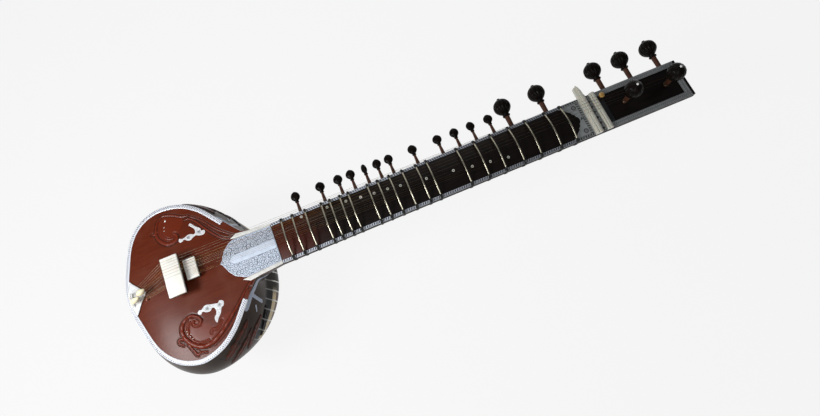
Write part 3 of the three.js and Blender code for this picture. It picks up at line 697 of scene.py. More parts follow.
def soundboard():
    rim = evenly(FACE, 900)
    shares = np.concatenate([np.linspace(0.02, 0.96, 150), [0.975, 0.99, 1.0]])
    xs = MIDDLE[0] + shares[:, None] * (rim[:, 0] - MIDDLE[0])
    ys = MIDDLE[1] + shares[:, None] * (rim[:, 1] - MIDDLE[1])
    plain = -edge_drop(rim[:, 0])[None] * shares[:, None] ** 2.5
    flat = xs.ravel(), ys.ravel()
    up, ridge, groove = carving(*flat)
    fade = (1 - step(0.93, 0.955, np.repeat(shares, len(rim)))) + (flat[0] > 118) * 1.0
    fade = np.clip(fade, 0, 1) * (flat[0] < 150)
    z = plain.ravel() + up * fade
    top = np.stack([flat[0], flat[1], z], 1).reshape(len(shares), len(rim), 3)
    under = []
    for r in (1.0, 0.6, 0.2):
        under.append(np.stack([MIDDLE[0] + r * (rim[:, 0] - MIDDLE[0]), MIDDLE[1] + r * (rim[:, 1] - MIDDLE[1]),
                               -edge_drop(rim[:, 0]) * r**2.5 - 3.0], 1))
    verts, faces = loft(np.concatenate([top, np.array(under)]))
    extra = len(verts) - len(flat[0])
    pad = np.zeros(extra)
    build("soundboard", verts, faces, BODY, M["tabli"], ["tabli"], "soundboard_wood", sharp=50,
          floats={"ridge": np.concatenate([ridge * fade, pad]), "groove": np.concatenate([groove * fade, pad])})

    dots = [loft([[(x + r * k * math.cos(a), y + r * k * math.sin(a), h) for a in np.linspace(0, 2 * math.pi, 13)[:-1]]
                  for k, h in ((1, -1.0), (1, 0.5), (0.75, 1.0))]) for x, y, r in DOTS]
    lift = [float(face_height(np.array([x]), np.array([y]))[0] + carving(np.array([x]), np.array([y]))[0][0])
            for x, y, r in DOTS]
    parts = [(v + [0, 0, h], f) for (v, f), h in zip(dots, lift)]
    verts, faces, _ = merge(*parts)
    build("carving_dots", verts, faces, BODY, M["bone"], slot="bone")


def binding():
    line = face_outline([(150, 30)], 400)
    line = line[(line[:, 0] <= 111)]
    line = evenly(line, 720, False)
    lengths = np.concatenate([[0], np.cumsum(np.linalg.norm(np.diff(line, axis=0), axis=1))])
    inward = MIDDLE - line
    inward /= np.linalg.norm(inward, axis=1)[:, None]
    section = [(8.8, -0.3), (8.9, 0.5), (8.3, 0.95), (7.0, 1.25), (5.2, 1.4), (3.4, 1.4), (1.8, 1.3), (0.6, 1.0),
               (0.0, 0.3), (-0.05, -1.2), (0.0, -2.9), (1.5, -2.6)]
    rings, uv = [], []
    for p, n, s in zip(line, inward, lengths):
        ring = []
        for across, h in section:
            q = p + n * across
            z = face_height(np.array([q[0]]), np.array([q[1]]))[0] if across > 0 else -edge_drop(p[0])
            taper = 1.0
            ring.append((q[0], q[1], z + h * taper))
            uv.append((s, across))
        rings.append(ring)
    verts, faces = loft(rings)
    uv += [(0, 4), (lengths[-1], 4)]
    build("soundboard_binding", verts, faces, BODY, M["binding"], ["tabli_binding"], "inlay", sharp=60, uv=uv)


UPPER_ORNAMENT = [(17, 83), (18, 78.5), (23, 78), (28, 81), (34, 76), (40, 75), (45, 78), (52, 80), (60, 76.5), (67, 76),
                  (71, 79), (71, 84), (65, 86), (64, 91), (59, 96), (54, 101), (50, 107), (46.5, 109.5), (44, 106),
                  (48, 101), (52, 95), (53, 88), (49, 84), (42, 87), (36, 87), (30, 84.5), (24, 84), (19, 86)]
LOWER_ORNAMENT = [(14, -70), (16, -74), (20, -75), (24, -71.5), (30, -75), (38, -76), (43, -71.5), (47, -73),
                  (49, -79), (47, -86), (43, -90), (42, -96), (44, -101.5), (47, -98), (51, -92), (56, -87),
                  (60, -78), (65, -75), (67, -69), (65, -65), (60, -63.5), (56, -67), (51, -66), (46, -65),
                  (40, -63.5), (33, -61.5), (27, -64), (23, -67), (18, -66.5)]


def veins(x, y):
    """Short engraved strokes, like the veins of a leaf."""
    turn = 0.8 * np.sin(x * 0.11) + 0.6 * np.cos(y * 0.13)
    wave = np.sin((x * np.cos(turn) + y * np.sin(turn)) * 1.5) * np.sin((y * np.cos(turn) - x * np.sin(turn)) * 0.7)
    return step(0.45, 0.75, np.abs(wave))


def ornaments():
    for name, outline, eyes in (("upper_ornament", UPPER_ORNAMENT, ((37, 81.5), (60, 84.5))),
                                ("lower_ornament", LOWER_ORNAMENT, ((34, -69), (58, -71)))):
        smooth = catmull(outline + outline[:1], 160)[:-1]
        closed = np.concatenate([smooth, smooth[:1]])

        def lift(x, y):
            d, _ = to_polyline(x, y, closed)
            rim = np.exp(-(((d - 1.3) / 0.35) ** 2)) * 0.25 + 0.25 * veins(x, y)
            for ex, ey in eyes:
                rim = rim + np.exp(-(((np.hypot(x - ex, y - ey) - 2.4) / 0.45) ** 2)) * 0.3
            return face_height(x, y) + 0.75 - rim

        verts, faces, x, y = plaque(smooth, 0.5, lift, 0.9)
        d, _ = to_polyline(x, y, closed)
        ink = np.maximum(np.exp(-(((d - 1.2) / 0.4) ** 2)) * 0.3, veins(x, y) * (d > 1.6) * 0.75)
        for ex, ey in eyes:
            r = np.hypot(x - ex, y - ey)
            ink = np.maximum(ink, np.exp(-(((r - 2.4) / 0.6) ** 2)))
            ink = np.maximum(ink, (r < 1.2) * 1.0)
            petals = np.exp(-(((r - 3.6) / 0.9) ** 2)) * (np.cos(5 * np.arctan2(y - ey, x - ex)) > 0.7)
            ink = np.maximum(ink, petals * 0.6)
        build(name, verts, faces, BODY, M["white"], slot="inlay", floats={"ink": np.concatenate([ink, ink * 0])})


# ------------------------------------------------------------------ bowl and cowl
BOWL = {"centre": (-6.8, 1.8), "half": 179.6, "neck": 144.8, "tail": 120.0, "wide": -76.0, "bottom": -250.0,
        "round": 1.73, "bulge": 31.3, "bulge_top": -59.0, "bulge_full": -151.0, "bulge_angle": 1.39}
COWL_X, COWL_Z = 62.0, -88.0
SHOULDER = 8.0


def bowl_radius(a, z):
    side = np.where(np.cos(a) > 0, BOWL["neck"], BOWL["tail"])
    oval = 1 / np.hypot(np.cos(a) / side, np.sin(a) / BOWL["half"])
    off = np.minimum(np.abs(np.arctan2(np.sin(a), np.cos(a))), BOWL["bulge_angle"])
    weight = np.maximum(0, np.cos(off / BOWL["bulge_angle"] * np.pi / 2)) ** 1.2
    return oval + BOWL["bulge"] * weight * (1 - step(BOWL["bulge_full"], BOWL["bulge_top"], z))


def bowl_rings(inset=0.0, above=0.0, around=360):
    outline = evenly(face_outline([(150, 30)]), around)
    cx, cy = BOWL["centre"]
    a = np.arctan2(outline[:, 1] - cy, outline[:, 0] - cx)
    r = np.hypot(outline[:, 0] - cx, outline[:, 1] - cy)
    rim = -edge_drop(outline[:, 0]) - 3.3
    rings = []

    def ring(radius, z):
        radius = radius - inset
        return np.stack([cx + radius * np.cos(a), cy + radius * np.sin(a), np.broadcast_to(z, a.shape)], 1)

    if above:
        rings.append(ring(r, rim + above))
    for u in np.linspace(0, 1, 26):
        s = math.sin(u * math.pi / 2)
        rings.append(ring(r + (bowl_radius(a, BOWL["wide"]) - r) * s, rim + (BOWL["wide"] - rim) * u))
    floor = BOWL["bottom"] + inset
    for u in np.sin(np.linspace(0.02, 1, 60) * math.pi / 2)[:-1]:
        z = BOWL["wide"] + (floor - BOWL["wide"]) * u
        rings.append(ring(bowl_radius(a, z) * math.sqrt(1 - u ** BOWL["round"]), z))
    return rings


def trough(half, top, shoulder, depth, steps=40):
    a = np.linspace(0, math.pi, steps + 1)
    curve = np.stack([half * np.cos(a), -shoulder - (depth - shoulder) * np.sin(a)], 1)
    return np.concatenate([[[half, top]], curve, [[-half, top]]])


def along_x(stations):
    return [[(x, y, z) for y, z in section] for x, section in stations]


def solid_object(name, verts, faces):
    mesh = bpy.data.meshes.new(name)
    mesh.from_pydata(((np.asarray(verts) + ORIGIN) / 1000).tolist(), [], [list(map(int, f)) for f in faces])
    mesh.update()
    obj = bpy.data.objects.new(name, mesh)
    bpy.context.scene.collection.objects.link(obj)
    return obj


def evaluated(obj):
    """The object's mesh with its modifiers applied; the object is removed."""
    bpy.context.view_layer.update()
    mesh = bpy.data.meshes.new_from_object(obj.evaluated_get(bpy.context.evaluated_depsgraph_get()))
    bpy.data.objects.remove(obj)
    return mesh


def boolean(obj, other, operation):
    mod = obj.modifiers.new(operation, "BOOLEAN")
    mod.operation = operation
    mod.object = other
    mod.solver = "MANIFOLD"


def coordinates(mesh):
    co = np.zeros(len(mesh.vertices) * 3)
    mesh.vertices.foreach_get("co", co)
    return co.reshape(-1, 3) * 1000 - ORIGIN


def set_coordinates(mesh, points):
    mesh.vertices.foreach_set("co", ((points + ORIGIN) / 1000).ravel())
    mesh.update()


# Carved leaves on the cowl, as lines of (degrees from the neck, height) with their half width.
LEAVES = [
    ([(50, -22), (60, -25), (70, -30), (79, -42)], 12.0),
    ([(44, -62), (52, -60), (60, -66), (67, -78)], 9.5),
    ([(54, -44), (64, -50), (73, -60), (80, -72)], 8.0),
    ([(36, -78), (44, -84), (52, -96), (58, -110)], 7.0),
]
RIBBONS = [
    ([(152, -44, -26), (141, -46, -20), (131, -58, -15), (120, -71, -11), (111, -83, -10), (101, -96, -10)], 5.6),
    ([(118, -73, -10), (119, -78.5, -28), (121, -84.5, -54)], 3.6),
    ([(112, -92, -34), (108, -101, -42)], 2.6),
]


def cowl_relief(points):
    """Outward height of the carved leaves and ribbons, and how red and how white each point is."""
    cx, cy = BOWL["centre"]
    angle = np.degrees(np.abs(np.arctan2(points[:, 1] - cy, points[:, 0] - cx)))
    z = points[:, 2]
    s = angle * 2.7
    height = np.zeros(len(points))
    red = np.zeros(len(points))
    zone = (angle < 90) & (z > -130) & (z < -12)
    for line, width in LEAVES:
        curve = catmull([(a * 2.7, h) for a, h in line], 30)
        d, t = to_polyline(s[zone], z[zone], curve)
        w = width * np.sin(np.clip(t, 0.03, 0.97) * math.pi) ** 0.6
        w = w * (1 + 0.12 * np.sin(t * 24))
        body = 1 - step(0.72, 1.0, d / np.maximum(w, 0.1))
        rib = np.exp(-((d / 1.2) ** 2)) * 0.7 + 0.18 * np.sin(t * 55 - d * 0.9)
        height[zone] = np.maximum(height[zone], body * (2.2 - rib))
        red[zone] = np.maximum(red[zone], body)
        edge = np.exp(-(((d - w - 1.5) / 1.4) ** 2)) * (t > 0.02) * (t < 0.98)
        height[zone] = np.where(body < 0.05, np.minimum(height[zone], height[zone] - 0.5 * edge), height[zone])
    white = np.zeros(len(points))
    side = points * [1, 1, 1]
    side[:, 1] = cy - np.abs(points[:, 1] - cy)
    for line, width in RIBBONS:
        curve = catmull(line, 40)
        best = np.full(len(points), 1e9)
        near = (np.abs(side - curve.mean(0)) < 60).all(1)
        best[near] = np.min(np.linalg.norm(side[near][:, None] - curve[None], axis=2), 1)
        white = np.maximum(white, 1 - step(width - 0.6, width + 0.6, best))
    white *= z < -4.2
    band_in = -67 - 0.05 * angle
    inner = np.clip((band_in - z) / 72, 0, 1)
    reach = 1 - step(58, 63, angle)
    band = inner * (reach > 0.5) * (points[:, 0] < 165)
    return height + 0.7 * white, red, white, band


def bowl():
    skin_v, skin_f = loft(bowl_rings())
    stations = [(128, 54, 98), (142, 49, 90), (152, 47.6, 80), (162, 46.4, 70), (172, 45.4, 61), (184, 44.4, 53),
                (197.6, 43.4, 46)]
    throat_v, throat_f = loft(along_x([(x, trough(half, -3.3, SHOULDER, depth)) for x, half, depth in stations]))
    verts, faces, _ = merge((skin_v, skin_f), (throat_v, throat_f))
    body = solid_object("bowl_work", verts, faces)
    mod = body.modifiers.new("remesh", "REMESH")
    mod.mode = "VOXEL"
    mod.voxel_size = 0.0016
    mesh = evaluated(body)

    points = coordinates(mesh)
    edges = np.zeros(len(mesh.edges) * 2, np.int64)
    mesh.edges.foreach_get("vertices", edges)
    edges = edges.reshape(-1, 2)
    degree = np.bincount(edges.ravel(), minlength=len(points))[:, None]
    rim_z = -edge_drop(points[:, 0]) - 3.3
    calm = step(1.0, 9.0, rim_z - points[:, 2])
    blend = calm * (0.25 + 0.75 * step(95, 120, points[:, 0])) * (1 - step(190, 197, points[:, 0]))
    for _ in range(22):
        total = np.zeros_like(points)
        for i, j in ((0, 1), (1, 0)):
            for k in range(3):
                total[:, k] += np.bincount(edges[:, i], points[edges[:, j], k], len(points))
        points += (total / degree - points) * 0.6 * blend[:, None]
    set_coordinates(mesh, points)
    normal = np.zeros(len(points) * 3)
    mesh.vertices.foreach_get("normal", normal)
    normal = normal.reshape(-1, 3)
    height, _, _, _ = cowl_relief(points)
    points += normal * (height * calm)[:, None]
    set_coordinates(mesh, points)

    hollow = solid_object("hollow", *loft(bowl_rings(6.0, 30.0, 180)))
    room_v, room_f = block((COWL_X, 400), (-300, 300), (COWL_Z, 100), 0)
    room = solid_object("room", room_v, room_f)
    cut_v, cut_f = block((COWL_X - 0.15, 400), (-300, 300), (COWL_Z - 0.15, 100), 0)
    cut = solid_object("cut", cut_v, cut_f)
    for name, other, operation, node in (("gourd", cut, "DIFFERENCE", "tumba"), ("cowl", room, "INTERSECT", "gulu")):
        piece = bpy.data.objects.new(name + "_work", mesh.copy())
        bpy.context.scene.collection.objects.link(piece)
        boolean(piece, other, operation)
        boolean(piece, hollow, "DIFFERENCE")
        made = evaluated(piece)
        _, red, white, band = cowl_relief(coordinates(made))
        dress(name, made, BODY, M["lacquer"], replaces=[node], slot="lacquered_gourd", sharp=55,
              floats={"leaf_red": red, "white": white, "band": band})
    for helper in (hollow, room, cut):
        bpy.data.objects.remove(helper)
    bpy.data.meshes.remove(mesh)


# ------------------------------------------------------------------ neck
HALF = 43.4
FRET_X = [middle(f"fret_{i:02d}")[0] for i in range(1, 21)]
SMALL_X = [middle(f"taraf_peg_{i:02d}")[0] for i in range(1, 13)]
LARGE = {n: middle(n)[0] for n in ("chikari_peg_01", "chikari_peg_02", "side_peg_01", "side_peg_02", "side_peg_03")}
FRONT = {n: middle(n)[0] for n in ("front_peg_01", "front_peg_02")}
GROMMET_Y = [32, 30, 27, 23, 20, 18, 14, 7, 1, -6, -11, -17]
GROMMET_X = [x + shift for x, shift in zip(SMALL_X, [0, 0, 0, 2.6, 0, 0, 0, 0, 0, 0, 0, -3.4])]
PEG_Z = -18.4
LEAF = [(836, -36), (848, -26), (856, -17), (861, -9), (866, 0), (861, 9), (856, 17), (848, 26), (836, 36)]


def leaf_curve(gap=0.0):
    """The fingerboard's scalloped end."""
    points = []
    for (x0, y0), (x1, y1) in zip(LEAF, LEAF[1:]):
        for t in np.linspace(0, 1, 9)[:-1]:
            bow = 1.6 * math.sin(math.pi * t)
            points.append((x0 + (x1 - x0) * t + bow + gap, y0 + (y1 - y0) * t + (bow if y0 >= 0 else -bow) * 0.4))
    return points + [(LEAF[-1][0] + gap, LEAF[-1][1])]


def neck():
    section = trough(HALF, -5.3, SHOULDER, 46, 56)
    verts, faces = loft(along_x([(198.2, section), (400, section), (700, section), (1112, section)]))
    build("neck_trough", verts, faces, BODY, M["neck"], ["dandi"], "dark_wood", sharp=35)
    section = trough(HALF, 0, SHOULDER, 46, 56)
    inner = trough(HALF - 0.8, -0.8, SHOULDER, 45.2, 56)
    verts, faces = loft(along_x([(1107.3, section), (1112.2, section), (1113, inner)]))
    build("peghead_end", verts, faces, BODY, M["panel"], slot="dark_wood", sharp=35)
    block_section = trough(37, -5.6, SHOULDER - 2, 39.7, 30)
    verts, faces = loft(along_x([(198.4, block_section), (236, block_section)]))
    build("heel_block", verts, faces, BODY, M["rosewood"], ["neck_block"], "plain_wood", sharp=35)

    half = HALF - 6.6
    outline = [(198.3, -half), (836, -half)] + leaf_curve() + [(836, half), (198.3, half)]
    wide = [(x, math.copysign(HALF - 0.1, y) if abs(y) > half - 0.1 else y) for x, y in outline]
    verts, faces, _ = merge(prism(wide, -5, -0.75, 0.2, 2), prism(outline, -0.74, 0, 0.3, 2))
    build("fingerboard_wood", verts, faces, BODY, M["board"], ["fingerboard"], "fingerboard_wood", sharp=30)

    sides = ((half + 0.05, HALF + 0.1), (-HALF - 0.1, -half - 0.05))
    parts = [block((198.3, 836), (y0, y1), (-0.7, 0.45), 0.3) for y0, y1 in sides]
    verts, faces, _ = merge(*parts)
    build("neck_edging", verts, faces, BODY, M["edging"], slot="inlay", sharp=30)

    rings = []
    for x, y in zip(GROMMET_X, GROMMET_Y):
        a = np.linspace(0, 2 * math.pi, 25)[:-1]
        profile = [(2.9, -0.5), (2.9, 0.15), (2.5, 0.4), (1.6, 0.42), (1.15, 0.2), (1.1, -0.5)]
        v = np.array([[(x + r * math.cos(t), y + r * math.sin(t), h) for t in a] for r, h in profile])
        faces = grid_faces(len(profile), len(a), True).tolist()
        last = (len(profile) - 1) * len(a)
        faces += [[(j + 1) % len(a), j, last + j, last + (j + 1) % len(a)][::-1] for j in range(len(a))]
        rings.append((v.reshape(-1, 3), [f[::-1] for f in faces]))
    verts, faces, _ = merge(*rings)
    build("string_hole_rings", verts, faces, BODY, M["head_bone"], slot="bone", sharp=50)


def filigree(x, y, pitch=6.4, seed=3):
    """Engraved curls packed side by side: how deep the cut is at each point."""
    rng = np.random.default_rng(seed)
    columns = int((x.max() - x.min()) / pitch) + 3
    rows = int((y.max() - y.min()) / (pitch * 0.87)) + 3
    centres = []
    for i in range(columns):
        for j in range(rows):
            centres.append((x.min() + (i - 1 + 0.5 * (j % 2)) * pitch, y.min() + (j - 1) * pitch * 0.87))
    centres = np.array(centres) + rng.normal(0, pitch * 0.12, (len(centres), 2))
    turn = rng.uniform(0, 2 * math.pi, len(centres))
    hand = rng.choice([-1, 1], len(centres))
    best = np.full(x.shape, 1e9)
    second = np.full(x.shape, 1e9)
    which = np.zeros(x.shape, int)
    for k, (cx, cy) in enumerate(centres):
        d = np.hypot(x - cx, y - cy)
        near = d < best
        second = np.where(near, best, np.minimum(second, d))
        which = np.where(near, k, which)
        best = np.where(near, d, best)
    theta = np.arctan2(y - centres[which, 1], x - centres[which, 0]) * hand[which] + turn[which]
    spiral = np.cos(2 * math.pi * best / (pitch * 0.36) - theta)
    cut = step(0.25, 0.75, spiral) * step(0.3, 0.9, best)
    border = 1 - step(0.25, 0.6, (second - best) / 2)
    return np.maximum(cut, border * 0.4)


JOINT = [(82, 3), (86.5, 7.5), (89, 11.5), (89.5, 16), (93.5, 20), (95.5, 25), (99, 28.5), (103, 32), (107.5, 36.5),
         (114, 39.5), (121, 42), (197.4, 38.4), (197.4, -37.2), (126, -41.5), (118, -39.5), (113, -35.5), (106, -32.5),
         (101.5, -28.5), (97, -22.5), (93.5, -18), (91.5, -13), (89, -8), (86.5, -2)]


def joint_plate():
    outline = np.array(JOINT, float)
    closed = np.concatenate([outline, outline[:1]])

    def pattern(x, y):
        ink = filigree(x, y, 8.2)
        edge, _ = to_polyline(x, y, closed)
        ink = ink * step(1.6, 2.0, edge)
        spine = 9.0 * step(97, 112, x) + 1.2 * (x - 100) / 97
        plain = (np.abs(y - 1.2) < spine) & (x > 96)
        line = np.exp(-((np.abs(np.abs(y - 1.2) - spine) / 0.35) ** 2)) * (x > 98)
        ink = np.where(plain, 0, ink)
        flower_r = np.hypot(x - 96, y - 3)
        flower_a = np.arctan2(y - 3, x - 96)
        ink = np.where(flower_r < 5.2, 0, ink)
        ink = np.maximum(ink, np.exp(-(((flower_r - 3.2 - 0.9 * np.cos(5 * flower_a)) / 0.4) ** 2)))
        ink = np.maximum(ink, line * 0.7)
        return np.maximum(ink, np.exp(-(((edge - 1.3) / 0.3) ** 2)) * 0.8)

    cell = 0.42
    verts, faces, x, y = plaque(outline, cell, lambda x, y: 1.6 - 0.16 * pattern(x, y), 1.3)
    ink = pattern(x, y)
    build("joint_plate_inlay", verts, faces, BODY, M["joint"], ["joint_plate"], "inlay", sharp=60,
          floats={"ink": np.concatenate([ink, ink * 0])})

    upper = [(114.5, 44.6), (124, 42.6), (197.5, 38.5), (197.5, 43.8), (175, 45.9), (150, 48.2), (128, 51.0)]
    lower = [(115, -43.6), (128, -42.2), (197.5, -37.4), (197.5, -43.8), (175, -45.9), (150, -48.0), (129, -51.0)]
    strips = [prism(strip, 0.15, 1.3, 0.3, 2) for strip in (upper, lower)]
    verts, faces, _ = merge(*strips)
    count = len(verts)
    build("joint_edge_strips", verts, faces, BODY, M["cream"], slot="inlay", sharp=30,
          floats={"ink": np.zeros(count)})


def head_plates():
    half = HALF
    window = (933.0, 1094.0, 32.0)

    def chain(across, along, pitch=5.4, wide=4.8):
        """A border of slanting links between two lines; across is the distance from its middle."""
        link = (((along + 0.5 * across) / pitch) % 1 < 0.52) * (np.abs(across) < wide * 0.36)
        lines = np.exp(-(((np.abs(across) - wide / 2) / 0.5) ** 2))
        return np.maximum(link * 1.0, lines * 0.9)

    def pattern(x, y):
        a = np.abs(y)
        ink = chain(a - 39.9, x)
        for line in (876.4,):
            ink = np.maximum(ink, (a < 37.4) * chain(x - line, y))
        # rings near the corners and a small three-armed flower at the leaf's point
        for cx, cy in ((866.4, 28), (866.4, -28)):
            r = np.hypot(x - cx, y - cy)
            ink = np.maximum(ink, np.exp(-(((r - 4.0) / 1.2) ** 2)))
            ink = np.maximum(ink, np.exp(-((r / 1.3) ** 2)) * 0.9)
        for k in range(3):
            t = math.pi / 2 + k * 2 * math.pi / 3
            dx, dy = math.cos(t), math.sin(t)
            along = (x - 871.2) * dx + y * dy
            off = np.abs(-(x - 871.2) * dy + y * dx)
            ink = np.maximum(ink, (along > 0) * (along < 4.0) * (off < 1.0))
        # dark flowers between the nut and the guide
        strip = (x > 896) & (x < 907) & (a < 41)
        spot = (((y + 4) / 13.0) % 1 - 0.5) * 13.0
        flower = np.hypot(x - 901.5, spot)
        petal = 3.2 + 1.0 * np.cos(4 * np.arctan2(spot, x - 901.5))
        bud = np.hypot(x - 901.5, (((y + 10.5) / 13.0) % 1 - 0.5) * 13.0)
        ink = np.where(strip, np.clip((1 - step(-0.4, 0.4, flower - petal)) + (1 - step(1.0, 1.6, bud)), 0, 1), ink)
        # the peghead's frame: diamond lattice between two lines
        head = x > 920.5
        rail = head & (a > 32)
        lattice = np.abs(np.abs((((x / 5.0) % 1) - 0.5) * 5.0) + np.abs(a - 37.7) - 2.4) < 0.55
        frame_ink = np.where(rail, lattice * 0.85, 0)
        end = head & (x > 1093) & (a <= 32)
        lattice = np.abs(np.abs((((y / 5.0) % 1) - 0.5) * 5.0) + np.abs(x - 1100.5) - 2.4) < 0.55
        frame_ink = np.where(end, lattice * 0.85, frame_ink)
        for line in (33.2, 42.4):
            frame_ink = np.maximum(frame_ink, rail * np.exp(-(((a - line) / 0.45) ** 2)) * 0.9)
        for line in (1095.0, 1106.0):
            frame_ink = np.maximum(frame_ink, end * np.exp(-(((x - line) / 0.45) ** 2)) * 0.9)
        frame_ink = np.where((x > 920.5) & (x < 940) & (a < 32.2), 1.0, frame_ink)
        return np.clip(np.where(head, frame_ink, ink), 0, 1)

    cell = 0.5
    pieces = []
    leaf = leaf_curve(0.35)[::-1]
    inner = half - 6.6
    upper = [(836.4, -half), (928, -half), (928, half), (836.4, half)] + leaf
    for outline, top, thick in (
        (upper, 0.3, 1.0),
        ([(928.05, -half), (1107, -half), (1107, -32), (928.05, -32)], 0.3, 1.0),
        ([(928.05, 32), (1107, 32), (1107, half), (928.05, half)], 0.3, 1.0),
        ([(1094, -31.95), (1107, -31.95), (1107, 31.95), (1094, 31.95)], 0.3, 1.0),
        ([(928.05, -31.95), (933, -31.95), (933, 31.95), (928.05, 31.95)], 0.3, 1.0),
    ):
        pieces.append(plaque(np.array(outline, float), cell, lambda x, y, t=top: t - 0.14 * pattern(x, y), thick, 0.3))
    verts, faces, _ = merge(*[(v, f) for v, f, _, _ in pieces])
    ink = np.concatenate([np.concatenate([pattern(x, y), np.zeros(len(x))]) for _, _, x, y in pieces])
    build("head_inlay", verts, faces, BODY, M["head"], ["face_inlay"], "inlay", sharp=50, floats={"ink": ink})

    under = [(836.4, -half + 0.1), (928, -half + 0.1), (928, half - 0.1), (836.4, half - 0.1)] + leaf
    rails = [prism(under, -5, -0.75, 0.2, 2), block((928.1, 1107), (32, half - 0.1), (-2.2, -0.75), 0.2),
             block((928.1, 1107), (-half + 0.1, -32), (-2.2, -0.75), 0.2),
             block((1094, 1107), (-32, 32), (-2.2, -0.75), 0.2), block((928.1, 933), (-32, 32), (-2.2, -0.75), 0.2)]
    verts, faces, _ = merge(*rails)
    build("head_core", verts, faces, BODY, M["neck"], slot="dark_wood", sharp=30)

    verts, faces = block((928.3, 1107), (-half + 0.1, half - 0.1), (-5, -2.3), 0.2)
    build("head_panel", verts, faces, BODY, M["panel"], ["peghead_panel"], "fingerboard_wood", sharp=30)


# ------------------------------------------------------------------ frets
def frets():
    for i, x in enumerate(FRET_X):
        name = f"fret_{i + 1:02d}"
        rings, crown = [], []
        for t in np.linspace(-1, 1, 41):
            slope = math.atan2(-2 * 11 * t, 43)
            z = 1.8 + 11 * (1 - t * t)
            close = math.sqrt(max(0.05, 1 - max(0, (abs(t) - 0.965) / 0.036) ** 2))
            ring = []
            for a in np.linspace(0, 2 * math.pi, 15)[:-1]:
                across = 1.9 * math.cos(a) * close
                up = (1.5 * math.sin(a) if math.sin(a) > 0 else 1.1 * math.sin(a)) * close
                ring.append((x + across, 43 * t - up * math.sin(slope), z + up * math.cos(slope)))
                crown.append(float(step(0.45, 0.95, math.sin(a))))
            rings.append(ring)
        build(name + "_rod", *loft(rings), name, M["brass"], [name], "fret_metal", sharp=50,
              floats={"crown": crown + [0, 0]})

        # five turns of thread over each end of the rod and round the back of the neck
        strands = []
        a = np.linspace(0, math.pi, 25)
        back = np.stack([(HALF + 0.6) * np.cos(a), -SHOULDER - (46.6 - SHOULDER) * np.sin(a)], 1)
        for k in range(5):
            o = (k - 2) * 0.98
            rise = 1.5 * math.sqrt(max(0.0, 1 - (o / 2.3) ** 2))
            over = [(y, 1.8 + 11 * (1 - (y / 43) ** 2) + rise + 0.3) for y in (36.9, 38, 39.2, 40.4, 41.6)]
            over = [(36.5, over[0][1] - 0.8)] + over + [(43.7, 2.9 + rise * 0.4), (HALF + 0.72, 0.3), (HALF + 0.68, -3)]
            loop = over + back.tolist() + [(-y, z) for y, z in reversed(over)]
            wobble = [random.uniform(-0.08, 0.08) for _ in loop]
            strands.append(tube([(x + o + w, y, z) for (y, z), w in zip(loop, wobble)], 0.52, 6))
        verts, faces, _ = merge(*strands)
        build(name + "_tie", verts, faces, name, M["thread"], slot="fret_metal", sharp=60)


# ------------------------------------------------------------------ pegs
def turned(profile, sides, place, shape=None):
    rings = []
    for h, r in profile:
        ring = []
        for k in range(sides):
            a = k / sides * 2 * math.pi
            q = r * (shape(a, h) if shape else 1.0)
            ring.append(place(q * math.cos(a), q * math.sin(a), h))
        rings.append(ring)
    return loft(rings)


def head_pick(sides, heights, from_h):
    """Material 1 (head) for the rings from from_h outwards."""
    pick = []
    rows = len(heights)
    for row in range(rows - 1):
        pick += [1 if heights[row] >= from_h else 0] * sides
    return pick + [0, 1] * sides


